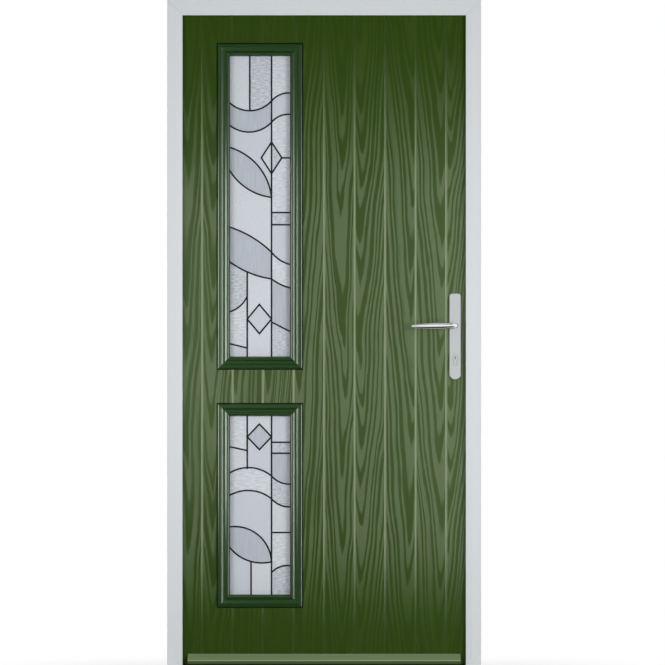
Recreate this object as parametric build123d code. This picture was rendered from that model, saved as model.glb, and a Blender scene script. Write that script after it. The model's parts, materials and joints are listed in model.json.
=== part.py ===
from build123d import *
from collections import namedtuple
import math
import os

# A panelled front door hung in its frame.
# X runs to the right seen from outside, Y into the house and Z up, all in millimetres.
# The origin is at the middle of the frame's foot, halfway through the frame's depth.

# Frame section
FRAME_WIDTH = 980.0
FRAME_HEIGHT = 2100.0
FRAME_DEPTH = 70.0
FRAME_FACE = 47.5  # width of the frame's face seen from outside
REBATE_WIDTH = 31.5  # width of the frame beside the leaf's edge
STOP_DEPTH = 22.0  # depth of the stop that the leaf closes against
FACE_SLOPE_WIDTH = 18.0
FACE_SLOPE_DROP = 5.0
FRAME_EDGE_RADIUS = 1.5
FRAME_WALL = 2.8
FRAME_WEB = 2.0
STEEL_ROOM = 11.7  # width of the chamber that takes the steel
STEEL_WALL = 1.5
STEEL_CLEARANCE = 0.3
STEEL_SETBACK = 60.0  # from the frame's corners to the ends of the steel
FIXING_RADIUS = 5.0
FIXING_END = 150.0  # from the frame's ends to the outer fixing holes
FIXING_SPACING = 600.0  # between the two inner fixing holes

# Threshold
THRESHOLD_HEIGHT = 17.0
THRESHOLD_EDGE = 5.0  # height of its front and back edges
THRESHOLD_RIDGE = 26.0  # width of the flat under the leaf
THRESHOLD_WALL = 2.4

# Seals
SEAL_GROOVE_WIDTH = 3.0
SEAL_GROOVE_DEPTH = 4.0
SEAL_FOOT_CLEARANCE = 0.2
SEAL_BULB_WIDTH = 8.0
SEAL_GAP = 3.0  # between the stop and the leaf
SEAL_RELIEF = 0.3  # left between a seal's bulb and the leaf

# Leaf
LEAF_THICKNESS = 44.0
LEAF_GAP = 5.0  # round the leaf's edges and top
LEAF_FOOT = 24.0  # height of the leaf's foot above the floor
SKIN_THICKNESS = 3.5
GROOVE_COUNT = 9
EDGE_PLANK_SHARE = 0.754  # width of the planks at the edges beside the others'
GROOVE_WIDTH = 6.0
GROOVE_DEPTH = 2.0
STILE_WIDTH = 80.0
TOP_RAIL = 88.0
BOTTOM_RAIL = 120.0

# Weather bar
WEATHER_BAR_END = 16.5  # from the frame's faces to the bar's ends
WEATHER_BAR_TOP = 57.0  # height of its top edge above the floor
WEATHER_BAR_REACH = 30.0
WEATHER_BAR_SLOPE = 21.0  # fall of its sloping face
WEATHER_BAR_NOSE = 9.0
WEATHER_BAR_LIP = 2.5  # depth of the step behind its top edge
WEATHER_BAR_WALL = 4.0

# Glazed lights
LIGHT_CENTRE_SHARE = 0.443  # of half the leaf's width, from its middle
CASSETTE_WIDTH = 264.0
CASSETTE_BAND = 36.8
CASSETTE_RISE = 10.5
CASSETTE_ROUND = 4.0
CASSETTE_LIP_SHARE = 0.38
CASSETTE_COVE_SHARE = 0.70
CASSETTE_BEAD_SHARE = 0.95
CASSETTE_EDGE_SHARE = 0.48
CASSETTE_QUIRK_SHARE = 0.78
COVE_FLOOR_SHARE = 0.48
BEAD_FOOT_SHARE = 0.66
BEAD_TOP_SHARE = 0.98
BEAD_END_SHARE = 0.52
LIGHT_TOP_MARGIN = 99.5  # from the leaf's top to the upper light
LIGHT_FOOT_MARGIN = 179.5  # from the leaf's foot to the lower light
UPPER_LIGHT_BOTTOM = 948.0  # above the floor
LIGHT_SPACING = 110.0  # between the lights
GLASS_COVER = 15.0  # how far the cassettes reach over the glass unit's edge
SCREW_ROOM = 10.0  # between the glass unit and the opening in the leaf
CASSETTE_CLEARANCE = 1.0
CASSETTE_SCREW_PITCH = 230.0
CASSETTE_BOSS_RADIUS = 4.0
PANE_THICKNESS = 4.0
CAVITY_DEPTH = 6.0
SPACER_WIDTH = 7.0
GLAZING_SEAL = 1.5
GLAZING_SEAL_SHOW = 1.2  # how far the glazing seal shows past the cassette
CAME_WIDTH = 5.0
CAME_DEPTH = 6.0
CAME_BORDER = 10.0
ART_GLASS_THICKNESS = 4.0

# Leaded designs, across and up the panel: three points are an arc, other counts are straight cames
UPPER_CAME_SHARES = [
    [(0.68, -0.1), (0.68, 1.1)],
    [(0.34, 0.815), (0.34, 1.1)],
    [(0.30, -0.1), (0.30, 0.285)],
    [(-0.1, 0.885), (0.36, 0.815), (0.68, 0.847)],
    [(0.68, 0.847), (0.88, 0.872), (1.1, 0.866)],
    [(-0.1, 0.800), (0.36, 0.745), (0.68, 0.777)],
    [(0.68, 0.777), (0.88, 0.802), (1.1, 0.796)],
    [(-0.1, 0.700), (0.42, 0.645), (0.68, 0.530)],
    [(-0.1, 0.700), (0.20, 0.575), (0.68, 0.530)],
    [(0.68, 0.712), (0.84, 0.660), (0.68, 0.608), (0.52, 0.660), (0.68, 0.712)],
    [(0.84, 0.660), (1.1, 0.660)],
    [(0.68, 0.480), (1.1, 0.480)],
    [(0.68, 0.440), (1.1, 0.440)],
    [(-0.1, 0.440), (0.30, 0.408), (0.68, 0.350)],
    [(0.68, 0.350), (0.86, 0.318), (1.1, 0.306)],
    [(-0.1, 0.340), (0.30, 0.285), (0.68, 0.262)],
    [(0.68, 0.262), (0.86, 0.240), (1.1, 0.228)],
    [(-0.1, 0.150), (0.16, 0.168), (0.30, 0.205)],
    [(0.49, 0.178), (0.68, 0.130), (0.49, 0.082), (0.30, 0.130), (0.49, 0.178)],
    [(0.68, 0.120), (1.1, 0.075)],
    [(-0.1, 0.055), (0.30, 0.035)],
]
LOWER_CAME_SHARES = [
    [(0.68, -0.1), (0.68, 1.1)],
    [(0.30, 0.698), (0.30, 1.1)],
    [(-0.1, 0.830), (0.30, 0.800)],
    [(0.49, 0.945), (0.68, 0.875), (0.49, 0.805), (0.30, 0.875), (0.49, 0.945)],
    [(-0.1, 0.640), (0.26, 0.705), (0.68, 0.660)],
    [(0.68, 0.660), (0.86, 0.620), (1.1, 0.625)],
    [(-0.1, 0.520), (0.26, 0.580), (0.68, 0.535)],
    [(0.68, 0.535), (0.86, 0.495), (1.1, 0.500)],
    [(0.68, 0.845), (1.1, 0.845)],
    [(0.68, 0.785), (1.1, 0.785)],
    [(-0.1, 0.370), (0.44, 0.345), (0.68, 0.190)],
    [(-0.1, 0.370), (0.20, 0.215), (0.68, 0.190)],
    [(0.68, 0.350), (1.1, 0.350)],
    [(0.36, 0.192), (0.36, -0.1)],
    [(0.68, 0.130), (0.84, 0.165), (1.1, 0.150)],
]

# Hinges
HINGE_HEIGHT = 100.0
HINGE_END = 230.0  # from the leaf's ends to the end hinges
HINGE_BARREL = 9.0
HINGE_STANDOFF = 0.5
HINGE_PLATE = 3.0
HINGE_FRAME_INSET = 3.0
HINGE_DOOR_PLATE = 45.0
HINGE_KNUCKLE_SHARE = 0.4
HINGE_KNUCKLE_GAP = 0.5
HINGE_PIN = 5.0
HINGE_PIN_CAP = 6.5
HINGE_PIN_CAP_HEIGHT = 4.0
HINGE_SCREW_INSET = 14.0
HINGE_FRAME_SCREW_LENGTH = 18.0
HINGE_DOOR_SCREW_LENGTH = 28.0
SHAFT_FIT = 0.05  # radial clearance of a turning shaft
SEAT_FIT = 0.02  # radial clearance of a fixed pin

# Screws
SCREW_HEAD = 4.2
SCREW_SHANK = 2.1
SCREW_CLEARANCE = 0.1

# Handle set
BACKSET = 44.0
LEVER_HEIGHT = 1083.0
KEY_PITCH = 101.0
PLATE_WIDTH = 37.0
PLATE_TOP = 102.0  # above the lever's axis
PLATE_BOTTOM = 171.0  # below the lever's axis
PLATE_DEPTH = 11.0
PLATE_TOP_RADIUS = 10.0
PLATE_SAGITTA = 14.0
PLATE_ROUND = 4.0
PLATE_WALL = 3.0
PLATE_BOLT_INSET = 28.0
PLATE_BOSS = 5.5
COLLAR_RADIUS = 13.5
COLLAR_HEIGHT = 2.5
LEVER_BUSH = 10.0
LEVER_RADIUS = 9.0
LEVER_PROJECTION = 52.0
LEVER_BEND = 15.0
LEVER_LENGTH = 137.5
LEVER_DROOP = 2.0
LEVER_TIP_ROUND = 2.5
LEVER_STATION_SHARES = [0.0, 0.35, 0.75, 1.0]
LEVER_TALL_SHARES = [1.0, 1.1, 0.86, 0.48]
LEVER_THICK_SHARES = [1.0, 0.80, 0.64, 0.42]
SPINDLE_SIDE = 8.0
SPINDLE_REACH = 30.0  # past the leaf's faces
HANDLE_BOLT = 2.5
HANDLE_BOLT_HEAD = 4.6

# Key cylinder
CYLINDER_RADIUS = 8.5
CYLINDER_HEIGHT = 33.0
CYLINDER_WEB = 10.0
CYLINDER_PROUD = 1.5
CYLINDER_CLEARANCE = 0.8
PLUG_RADIUS = 6.5
PLUG_PROUD = 0.8
KEYWAY_WIDTH = 2.2
KEYWAY_HEIGHT = 9.0
KEYWAY_DEPTH = 12.0
CAM_WIDTH = 10.0
CAM_REACH = 14.5
CAM_CLEARANCE = 0.5
THUMB_LENGTH = 30.0
THUMB_THICKNESS = 9.0
THUMB_REACH = 17.0
THUMB_NECK = 6.0

# Lock
FACEPLATE_WIDTH = 20.0
FACEPLATE_THICKNESS = 3.0
FACEPLATE_END = 80.0  # past the hooks' pivots
FACEPLATE_SCREW_INSET = 14.0
FACEPLATE_SCREW_LENGTH = 15.0
CASE_THICKNESS = 15.0
CASE_DEPTH = 62.0
CASE_ABOVE = 58.0  # above the lever's axis
CASE_BELOW = 36.0  # below the key's axis
CASE_WALL = 1.2
POCKET_CLEARANCE = 0.5
FOLLOWER_RADIUS = 11.0
FOLLOWER_ARM = 16.0
FOLLOWER_ARM_WIDTH = 6.0
FOLLOWER_ARM_THICKNESS = 5.0
LATCH_RISE = 24.0  # above the lever's axis
LATCH_HEIGHT = 18.0
LATCH_WIDTH = 12.0
LATCH_LENGTH = 16.0
LATCH_THROW = 12.0
LATCH_TAIL_HEIGHT = 8.0
LATCH_TAIL_THICKNESS = 2.5
LATCH_LUG = 2.5
DEADBOLT_DROP = 45.0  # below the lever's axis
DEADBOLT_HEIGHT = 22.0
DEADBOLT_WIDTH = 10.0
DEADBOLT_LENGTH = 40.0
DEADBOLT_ROUND = 2.0
BOLT_CLEARANCE = 0.3
HOOK_TOP_END = 335.5  # from the leaf's top to the upper hook's pivot
HOOK_FOOT_END = 414.0  # from the leaf's foot to the lower hook's pivot
HOOK_SETBACK = 9.0  # from the faceplate's back to the pivot
HOOK_REACH = 28.0
HOOK_BOSS = 8.0
HOOK_PIVOT = 3.5
HOOK_ARM_WIDTH = 8.0
HOOK_ARM_LEAN = 3.0  # how far the arm stands in front of the pivot
HOOK_BEAK_HEIGHT = 7.0
HOOK_BEAK_REACH = 9.0
HOOK_THICKNESS = 6.0
HOOK_PIN = 2.0
HOOK_PIN_CENTRE = 13.0  # from the pivot to the drive pin
HOOK_TURN = 90.0
HOOK_CASE_DEPTH = 34.0
HOOK_CASE_ABOVE = 24.0
HOOK_CASE_BELOW = 36.0
HOOK_SLOT_SPARE = 2.0
ROD_WIDTH = 13.5
ROD_THICKNESS = 2.5
ROD_END = 8.0  # past its slot
ROD_SLOT_SPARE = 0.6
ROD_IN_CASE = 20.0

# Keeps on the lock jamb
KEEP_THICKNESS = 2.0
KEEP_WIDTH = 24.0
KEEP_END = 32.0  # past the openings
KEEP_SPARE = 2.0  # round each bolt
KEEP_SCREW_INSET = 12.0
KEEP_SCREW_LENGTH = 14.0

# How far a cut runs past the face that it opens
OVERRUN = 2.0

# Places that follow from the sizes above
half_width = FRAME_WIDTH / 2
frame_front = -FRAME_DEPTH / 2
frame_back = FRAME_DEPTH / 2
stop_face = frame_front + STOP_DEPTH
seal_place = (REBATE_WIDTH + FRAME_FACE) / 2
rebate_face = half_width - REBATE_WIDTH
leaf_half = rebate_face - LEAF_GAP
leaf_top = FRAME_HEIGHT - REBATE_WIDTH - LEAF_GAP
leaf_front = stop_face + SEAL_GAP
leaf_back = leaf_front + LEAF_THICKNESS
leaf_mid = (leaf_front + leaf_back) / 2
core_front = leaf_front + SKIN_THICKNESS
core_back = leaf_back - SKIN_THICKNESS
core_half = leaf_half - STILE_WIDTH
groove_pitch = 2 * leaf_half / (GROOVE_COUNT - 1 + 2 * EDGE_PLANK_SHARE)
weather_bar_half = half_width - FRAME_FACE - WEATHER_BAR_END
light_centre = -leaf_half * LIGHT_CENTRE_SHARE
steel_inner = FRAME_WALL + STEEL_ROOM
lock_chamber = steel_inner + FRAME_WEB
fixing_place = (stop_face + frame_back) / 2
fixing_heights = [
    FIXING_END,
    (FRAME_HEIGHT - FIXING_SPACING) / 2,
    (FRAME_HEIGHT + FIXING_SPACING) / 2,
    FRAME_HEIGHT - FIXING_END,
]
unit_thickness = 2 * PANE_THICKNESS + 2 * CAVITY_DEPTH + CAME_DEPTH
glass_front = leaf_mid - unit_thickness / 2
unit_inset = CASSETTE_BAND - GLASS_COVER
opening_inset = unit_inset - SCREW_ROOM
body_inset = opening_inset + CASSETTE_CLEARANCE
cassette_seat = glass_front - GLAZING_SEAL - leaf_front
boss_inset = (body_inset + unit_inset) / 2
hinge_x = -(leaf_half + LEAF_GAP / 2)
hinge_y = frame_back + HINGE_BARREL + HINGE_STANDOFF
hinge_heights = [
    ("lower", LEAF_FOOT + HINGE_END),
    ("middle", (LEAF_FOOT + leaf_top) / 2),
    ("upper", leaf_top - HINGE_END),
]
spindle_x = leaf_half - BACKSET
key_height = LEVER_HEIGHT - KEY_PITCH
plate_front = leaf_front - PLATE_DEPTH
plate_low = LEVER_HEIGHT - PLATE_BOTTOM
plate_high = LEVER_HEIGHT + PLATE_TOP
plate_bolts = [plate_low + PLATE_BOLT_INSET, plate_high - PLATE_BOLT_INSET]
faceplate_back = leaf_half - FACEPLATE_THICKNESS
case_low = key_height - CASE_BELOW
case_high = LEVER_HEIGHT + CASE_ABOVE
case_front = leaf_mid - CASE_THICKNESS / 2
case_back = leaf_mid + CASE_THICKNESS / 2
latch_height = LEVER_HEIGHT + LATCH_RISE
deadbolt_height = LEVER_HEIGHT - DEADBOLT_DROP
hook_x = faceplate_back - HOOK_SETBACK
hook_heights = [("lower", LEAF_FOOT + HOOK_FOOT_END), ("upper", leaf_top - HOOK_TOP_END)]
hook_front = case_front + CASE_WALL + BOLT_CLEARANCE
hook_back = hook_front + HOOK_THICKNESS
hook_mid = (hook_front + hook_back) / 2
hook_half_turn = math.radians(HOOK_TURN / 2)
pin_rise = HOOK_PIN_CENTRE * math.sin(hook_half_turn)
pin_near = HOOK_PIN_CENTRE * math.cos(hook_half_turn)
rod_front = hook_back + BOLT_CLEARANCE
rod_back = rod_front + ROD_THICKNESS
rod_x = hook_x - (pin_near + HOOK_PIN_CENTRE) / 2
rod_travel = 2 * pin_rise
slot_top = HOOK_ARM_LEAN + KEEP_SPARE
slot_bottom = HOOK_REACH + HOOK_SLOT_SPARE

Light = namedtuple("Light", "name bottom top cames")
lights = [
    Light("upper", UPPER_LIGHT_BOTTOM, leaf_top - LIGHT_TOP_MARGIN, UPPER_CAME_SHARES),
    Light(
        "lower", LEAF_FOOT + LIGHT_FOOT_MARGIN, UPPER_LIGHT_BOTTOM - LIGHT_SPACING, LOWER_CAME_SHARES
    ),
]
middle_plane = Plane(origin=(0, leaf_mid, 0), z_dir=(0, 1, 0))
side_plane = Plane(origin=(0, 0, 0), z_dir=(1, 0, 0))


# Drawing helpers
def face_of(points):
    """A flat face with straight edges."""
    return make_face(Polyline(*points, close=True))


def along_x(face, left, right):
    """A face drawn in (y, z), carried from left to right."""
    plane = Plane(origin=(left, 0, 0), x_dir=(0, 1, 0), z_dir=(1, 0, 0))
    return extrude(plane * face, amount=right - left, dir=(1, 0, 0))


def along_y(face, front, back):
    """A face drawn in (x, z), carried from front to back."""
    plane = Plane(origin=(0, front, 0), x_dir=(1, 0, 0), z_dir=(0, -1, 0))
    return extrude(plane * face, amount=back - front, dir=(0, 1, 0))


def along_z(face, bottom, top):
    """A face drawn in (x, y), carried from bottom to top."""
    plane = Plane(origin=(0, 0, bottom), x_dir=(1, 0, 0), z_dir=(0, 0, 1))
    return extrude(plane * face, amount=top - bottom, dir=(0, 0, 1))


def block(x_range, y_range, z_range):
    """A box between low and high places on each axis."""
    sides = [high - low for low, high in (x_range, y_range, z_range)]
    corner = (x_range[0], y_range[0], z_range[0])
    return Pos(*corner) * Box(*sides, align=(Align.MIN, Align.MIN, Align.MIN))


def around(centre, half):
    """The range that lies half to each side of a centre."""
    return (centre - half, centre + half)


def disc(across, up, radius):
    """A round face at a place in its drawing plane."""
    return Pos(across, up) * Circle(radius)


def group(solids):
    """Several separate solids kept as one piece."""
    return Compound(children=[solid for item in solids for solid in item.solids()])


def save(name, shape):
    """Writes one piece."""
    export_step(shape, os.path.join("parts", name + ".step"))


def screw(length, grow=0.0, head=SCREW_HEAD, shank=SCREW_SHANK):
    """A countersunk screw with its head's face at zero, pointing down; grow makes its hole."""
    outline = [
        (0, grow),
        (head + grow, grow),
        (head + grow, 0),
        (shank + grow, shank - head),
        (shank + grow, -length - grow),
        (0, -length - grow),
    ]
    if not grow:
        outline = outline[0:1] + outline[2:]
    half = Plane.XZ * face_of(outline)
    return revolve(half, Axis.Z)


def screws_at(places, outward, length, grow=0.0):
    """Screws whose heads face outward at the given places."""
    return [Plane(origin=place, z_dir=outward) * screw(length, grow) for place in places]


def cut_all(solid, tools):
    """A solid with every tool taken away."""
    for tool in tools:
        solid = solid - tool
    return solid


# Frame
def frame_section():
    """The hollow section: across from its wall side, then in from its outer face."""
    slope = FACE_SLOPE_DROP / FACE_SLOPE_WIDTH
    flat = FRAME_FACE - FACE_SLOPE_WIDTH
    groove = SEAL_GROOVE_WIDTH / 2
    outline = face_of([
        (0, 0),
        (flat, 0),
        (FRAME_FACE, FACE_SLOPE_DROP),
        (FRAME_FACE, STOP_DEPTH),
        (seal_place + groove, STOP_DEPTH),
        (seal_place + groove, STOP_DEPTH - SEAL_GROOVE_DEPTH),
        (seal_place - groove, STOP_DEPTH - SEAL_GROOVE_DEPTH),
        (seal_place - groove, STOP_DEPTH),
        (REBATE_WIDTH, STOP_DEPTH),
        (REBATE_WIDTH, FRAME_DEPTH),
        (0, FRAME_DEPTH),
    ])
    corners = outline.vertices().filter_by(lambda v: v.Y <= FACE_SLOPE_DROP and v.X != flat)
    outline = fillet(corners, FRAME_EDGE_RADIUS)
    chamber_end = seal_place - groove - FRAME_WALL
    chamber_back = STOP_DEPTH - FRAME_WALL
    front_chamber = face_of([
        (FRAME_WALL, FRAME_WALL),
        (flat, FRAME_WALL),
        (chamber_end, FRAME_WALL + (chamber_end - flat) * slope),
        (chamber_end, chamber_back),
        (FRAME_WALL, chamber_back),
    ])
    deep_end = FRAME_DEPTH - FRAME_WALL
    steel_chamber = rectangle_between(FRAME_WALL, steel_inner, STOP_DEPTH, deep_end)
    leaf_chamber = rectangle_between(lock_chamber, REBATE_WIDTH - FRAME_WALL, STOP_DEPTH, deep_end)
    return outline - front_chamber - steel_chamber - leaf_chamber


def rectangle_between(left, right, low, high):
    """A rectangle between two places across and two places up."""
    return face_of([(left, low), (right, low), (right, high), (left, high)])


def jamb_run(section, foot, top):
    """A section carried up the hinge jamb."""
    plane = Plane(origin=(-half_width, frame_front, foot), x_dir=(1, 0, 0), z_dir=(0, 0, 1))
    return extrude(plane * section, amount=top - foot, dir=(0, 0, 1))


def head_run(section, left, right):
    """A section carried along the head."""
    plane = Plane(origin=(left, frame_front, FRAME_HEIGHT), x_dir=(0, 0, -1), z_dir=(1, 0, 0))
    return extrude(plane * section, amount=right - left, dir=(1, 0, 0))


def mitre_side():
    """The room that the hinge jamb keeps below its mitre."""
    outer = half_width + OVERRUN
    inner = half_width - FRAME_FACE - OVERRUN
    low = FRAME_HEIGHT - FRAME_FACE - OVERRUN
    points = [(-outer, -OVERRUN), (-inner, -OVERRUN), (-inner, low), (-outer, FRAME_HEIGHT + OVERRUN)]
    return along_y(face_of(points), frame_front - OVERRUN, frame_back + OVERRUN)


def mitre_head():
    """The room that the head keeps between its two mitres."""
    outer = half_width + OVERRUN
    inner = half_width - FRAME_FACE - OVERRUN
    low = FRAME_HEIGHT - FRAME_FACE - OVERRUN
    high = FRAME_HEIGHT + OVERRUN
    points = [(-inner, low), (inner, low), (outer, high), (-outer, high)]
    return along_y(face_of(points), frame_front - OVERRUN, frame_back + OVERRUN)


def fixing_holes():
    """Holes through the hinge jamb for the screws that fix the frame to the wall."""
    left = -half_width - OVERRUN
    right = -rebate_face + OVERRUN
    return [along_x(disc(fixing_place, z, FIXING_RADIUS), left, right) for z in fixing_heights]


def hinge_frame_screw_places():
    """Head places of the screws that hold the hinges' frame leaves."""
    x = -half_width + FRAME_WALL + STEEL_ROOM / 2
    y = frame_back + HINGE_PLATE
    reach = HINGE_HEIGHT / 2 - HINGE_SCREW_INSET
    return [(x, y, z + step) for _, z in hinge_heights for step in (-reach, 0, reach)]


def hinge_frame_holes():
    """Room for those screws."""
    return screws_at(hinge_frame_screw_places(), (0, 1, 0), HINGE_FRAME_SCREW_LENGTH, SCREW_CLEARANCE)


def plain_jamb():
    """A hinge-side jamb before its hardware is let in."""
    jamb = jamb_run(frame_section(), 0, FRAME_HEIGHT) & mitre_side()
    return cut_all(jamb, fixing_holes())


def hinge_jamb():
    """The jamb that carries the hinges."""
    return cut_all(plain_jamb(), hinge_frame_holes())


def lock_jamb():
    """The jamb that carries the keeps, with the openings that the bolts enter."""
    jamb = mirror(plain_jamb(), about=side_plane)
    wall = (rebate_face - OVERRUN, rebate_face + FRAME_WALL + OVERRUN)
    for y_range, z_range in bolt_windows():
        jamb = jamb - block(wall, y_range, z_range)
    return cut_all(jamb, keep_screw_holes())


def frame_head():
    """The head of the frame, mitred at both ends."""
    return head_run(frame_section(), -half_width, half_width) & mitre_head()


def steel_section():
    """The galvanised box that stiffens the frame."""
    low = FRAME_WALL + STEEL_CLEARANCE
    high = steel_inner - STEEL_CLEARANCE
    front = STOP_DEPTH + STEEL_CLEARANCE
    back = FRAME_DEPTH - FRAME_WALL - STEEL_CLEARANCE
    outer = rectangle_between(low, high, front, back)
    return outer - rectangle_between(
        low + STEEL_WALL, high - STEEL_WALL, front + STEEL_WALL, back - STEEL_WALL
    )


def frame_steels():
    """The steels of the two jambs and the head."""
    top = FRAME_HEIGHT - STEEL_SETBACK
    upright = cut_all(jamb_run(steel_section(), 0, top), fixing_holes())
    hinge_side = cut_all(upright, hinge_frame_holes())
    lock_side = mirror(upright, about=side_plane)
    reach = half_width - STEEL_SETBACK
    return group([hinge_side, lock_side, head_run(steel_section(), -reach, reach)])


def bulb(centre, base, width, height, groove_depth):
    """A seal's section: a round bulb on its base and a foot that sits in a groove."""
    half = width / 2
    foot = SEAL_GROOVE_WIDTH / 2 - SEAL_FOOT_CLEARANCE
    arc = ThreePointArc((centre - half, base), (centre, base + height), (centre + half, base))
    chord = Line((centre + half, base), (centre - half, base))
    stem_end = base - groove_depth + SEAL_FOOT_CLEARANCE
    return make_face([arc, chord]) + rectangle_between(centre - foot, centre + foot, stem_end, base)


def frame_seal():
    """The bubble seal round the stop."""
    section = bulb(seal_place, STOP_DEPTH, SEAL_BULB_WIDTH, SEAL_GAP - SEAL_RELIEF, SEAL_GROOVE_DEPTH)
    side = jamb_run(section, LEAF_FOOT, FRAME_HEIGHT) & mitre_side()
    top = head_run(section, -half_width, half_width) & mitre_head()
    return side + top + mirror(side, about=side_plane)


def threshold():
    """The low hollow threshold between the jambs."""
    front_edge = leaf_mid - THRESHOLD_RIDGE / 2
    back_edge = leaf_mid + THRESHOLD_RIDGE / 2
    outline = face_of([
        (frame_front, 0),
        (frame_back, 0),
        (frame_back, THRESHOLD_EDGE),
        (back_edge, THRESHOLD_HEIGHT),
        (front_edge, THRESHOLD_HEIGHT),
        (frame_front, THRESHOLD_EDGE),
    ])
    groove_half = SEAL_GROOVE_WIDTH / 2
    groove_floor = THRESHOLD_HEIGHT - SEAL_GROOVE_DEPTH
    groove = rectangle_between(
        leaf_mid - groove_half, leaf_mid + groove_half, groove_floor, THRESHOLD_HEIGHT
    )
    rib = rectangle_between(
        leaf_mid - groove_half - THRESHOLD_WALL,
        leaf_mid + groove_half + THRESHOLD_WALL,
        0,
        THRESHOLD_HEIGHT,
    )
    chambers = offset(outline, amount=-THRESHOLD_WALL) - rib
    run = along_x(outline - chambers - groove, -rebate_face, rebate_face)
    for side in (-1, 1):
        near, far = sorted((side * (half_width - FRAME_FACE), side * (rebate_face + OVERRUN)))
        run = run - block(
            (near, far), (frame_front - OVERRUN, stop_face), (-OVERRUN, THRESHOLD_HEIGHT + OVERRUN)
        )
    return run


def threshold_seal():
    """The seal under the leaf."""
    height = LEAF_FOOT - THRESHOLD_HEIGHT - SEAL_RELIEF
    section = bulb(leaf_mid, THRESHOLD_HEIGHT, SEAL_BULB_WIDTH, height, SEAL_GROOVE_DEPTH)
    reach = rebate_face - SEAL_FOOT_CLEARANCE
    return along_x(section, -reach, reach)


# Keeps
def latch_window():
    """Ranges of the opening that the latch enters."""
    return (
        around(leaf_mid, LATCH_WIDTH / 2 + KEEP_SPARE),
        around(latch_height, LATCH_HEIGHT / 2 + KEEP_SPARE),
    )


def deadbolt_window():
    """Ranges of the opening that the deadbolt enters."""
    return (
        around(leaf_mid, DEADBOLT_WIDTH / 2 + KEEP_SPARE),
        around(deadbolt_height, DEADBOLT_HEIGHT / 2 + KEEP_SPARE),
    )


def hook_window(pivot):
    """Ranges of the slot that a hook enters and then hooks behind."""
    return (
        around(hook_mid, HOOK_THICKNESS / 2 + KEEP_SPARE),
        (pivot - slot_bottom, pivot + slot_top),
    )


def bolt_windows():
    """Every opening in the lock jamb."""
    return [latch_window(), deadbolt_window()] + [hook_window(z) for _, z in hook_heights]


def keep_ends(windows):
    """The lowest and highest places of a keep round its openings."""
    lows = [z_range[0] for _, z_range in windows]
    highs = [z_range[1] for _, z_range in windows]
    return min(lows) - KEEP_END, max(highs) + KEEP_END


def keep_sets():
    """The openings of each keep, the latch's first."""
    return [[latch_window(), deadbolt_window()]] + [[hook_window(z)] for _, z in hook_heights]


def keep_screw_places():
    """Head places of the keeps' screws."""
    x = rebate_face - KEEP_THICKNESS
    places = []
    for windows in keep_sets():
        low, high = keep_ends(windows)
        places += [(x, leaf_mid, low + KEEP_SCREW_INSET), (x, leaf_mid, high - KEEP_SCREW_INSET)]
    return places


def keep_screw_holes():
    """Room for those screws."""
    return screws_at(keep_screw_places(), (-1, 0, 0), KEEP_SCREW_LENGTH, SCREW_CLEARANCE)


def keep(windows):
    """A strike plate on the lock jamb."""
    low, high = keep_ends(windows)
    corner = KEEP_WIDTH / 2 - KEEP_SPARE
    outline = Pos(leaf_mid, (low + high) / 2) * RectangleRounded(KEEP_WIDTH, high - low, corner)
    plate = along_x(outline, rebate_face - KEEP_THICKNESS, rebate_face)
    through = (rebate_face - KEEP_THICKNESS - OVERRUN, rebate_face + OVERRUN)
    for y_range, z_range in windows:
        plate = plate - block(through, y_range, z_range)
    return cut_all(plate, keep_screw_holes())


def frame_screws():
    """The screws of the keeps and of the hinges' frame leaves."""
    keeps = screws_at(keep_screw_places(), (-1, 0, 0), KEEP_SCREW_LENGTH)
    hinges = screws_at(hinge_frame_screw_places(), (0, 1, 0), HINGE_FRAME_SCREW_LENGTH)
    return group(keeps + hinges)


# Hinges
def knuckle_ranges(z):
    """The centre knuckle's range, then the ranges of the end knuckles."""
    half = HINGE_HEIGHT / 2
    inner = half * HINGE_KNUCKLE_SHARE
    outer = inner + HINGE_KNUCKLE_GAP
    return (z - inner, z + inner), [(z - half, z - outer), (z + outer, z + half)]


def hinge_leaf(z_range, knuckles, plate_x, web, bore):
    """A hinge leaf: its plate, the webs that reach its knuckles, and the knuckles bored for the pin."""
    plate_y = (web[0][1], web[0][1] + HINGE_PLATE)
    leaf = block(plate_x, plate_y, z_range)
    for low, high in knuckles:
        leaf = leaf + along_z(face_of(web), low, high)
        leaf = leaf + along_z(disc(hinge_x, hinge_y, HINGE_BARREL), low, high)
    hole = along_z(disc(hinge_x, hinge_y, bore), z_range[0] - OVERRUN, z_range[1] + OVERRUN)
    return leaf - hole


def hinge_web(base, side):
    """The outline that joins a plate on the given face to the barrel, on one side of the axis."""
    tangent = hinge_x + side * HINGE_BARREL
    plate_end = tangent + side * HINGE_KNUCKLE_GAP
    return [
        (plate_end, base),
        (hinge_x, base),
        (hinge_x, hinge_y),
        (tangent, hinge_y),
        (tangent, base + HINGE_PLATE),
        (plate_end, base + HINGE_PLATE),
    ]


def hinge_frame_leaf(z):
    """The half of a hinge that is screwed to the jamb."""
    _, ends = knuckle_ranges(z)
    plate_x = (-half_width + HINGE_FRAME_INSET, hinge_x - HINGE_BARREL - HINGE_KNUCKLE_GAP)
    leaf = hinge_leaf(
        around(z, HINGE_HEIGHT / 2), ends, plate_x, hinge_web(frame_back, -1), HINGE_PIN + SEAT_FIT
    )
    return cut_all(leaf, hinge_frame_holes())


def hinge_door_leaf(z):
    """The half of a hinge that is screwed to the leaf."""
    centre, _ = knuckle_ranges(z)
    start = hinge_x + HINGE_BARREL + HINGE_KNUCKLE_GAP
    leaf = hinge_leaf(
        around(z, HINGE_HEIGHT / 2),
        [centre],
        (start, start + HINGE_DOOR_PLATE),
        hinge_web(leaf_back, 1),
        HINGE_PIN + SHAFT_FIT,
    )
    return cut_all(leaf, hinge_door_holes())


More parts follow.
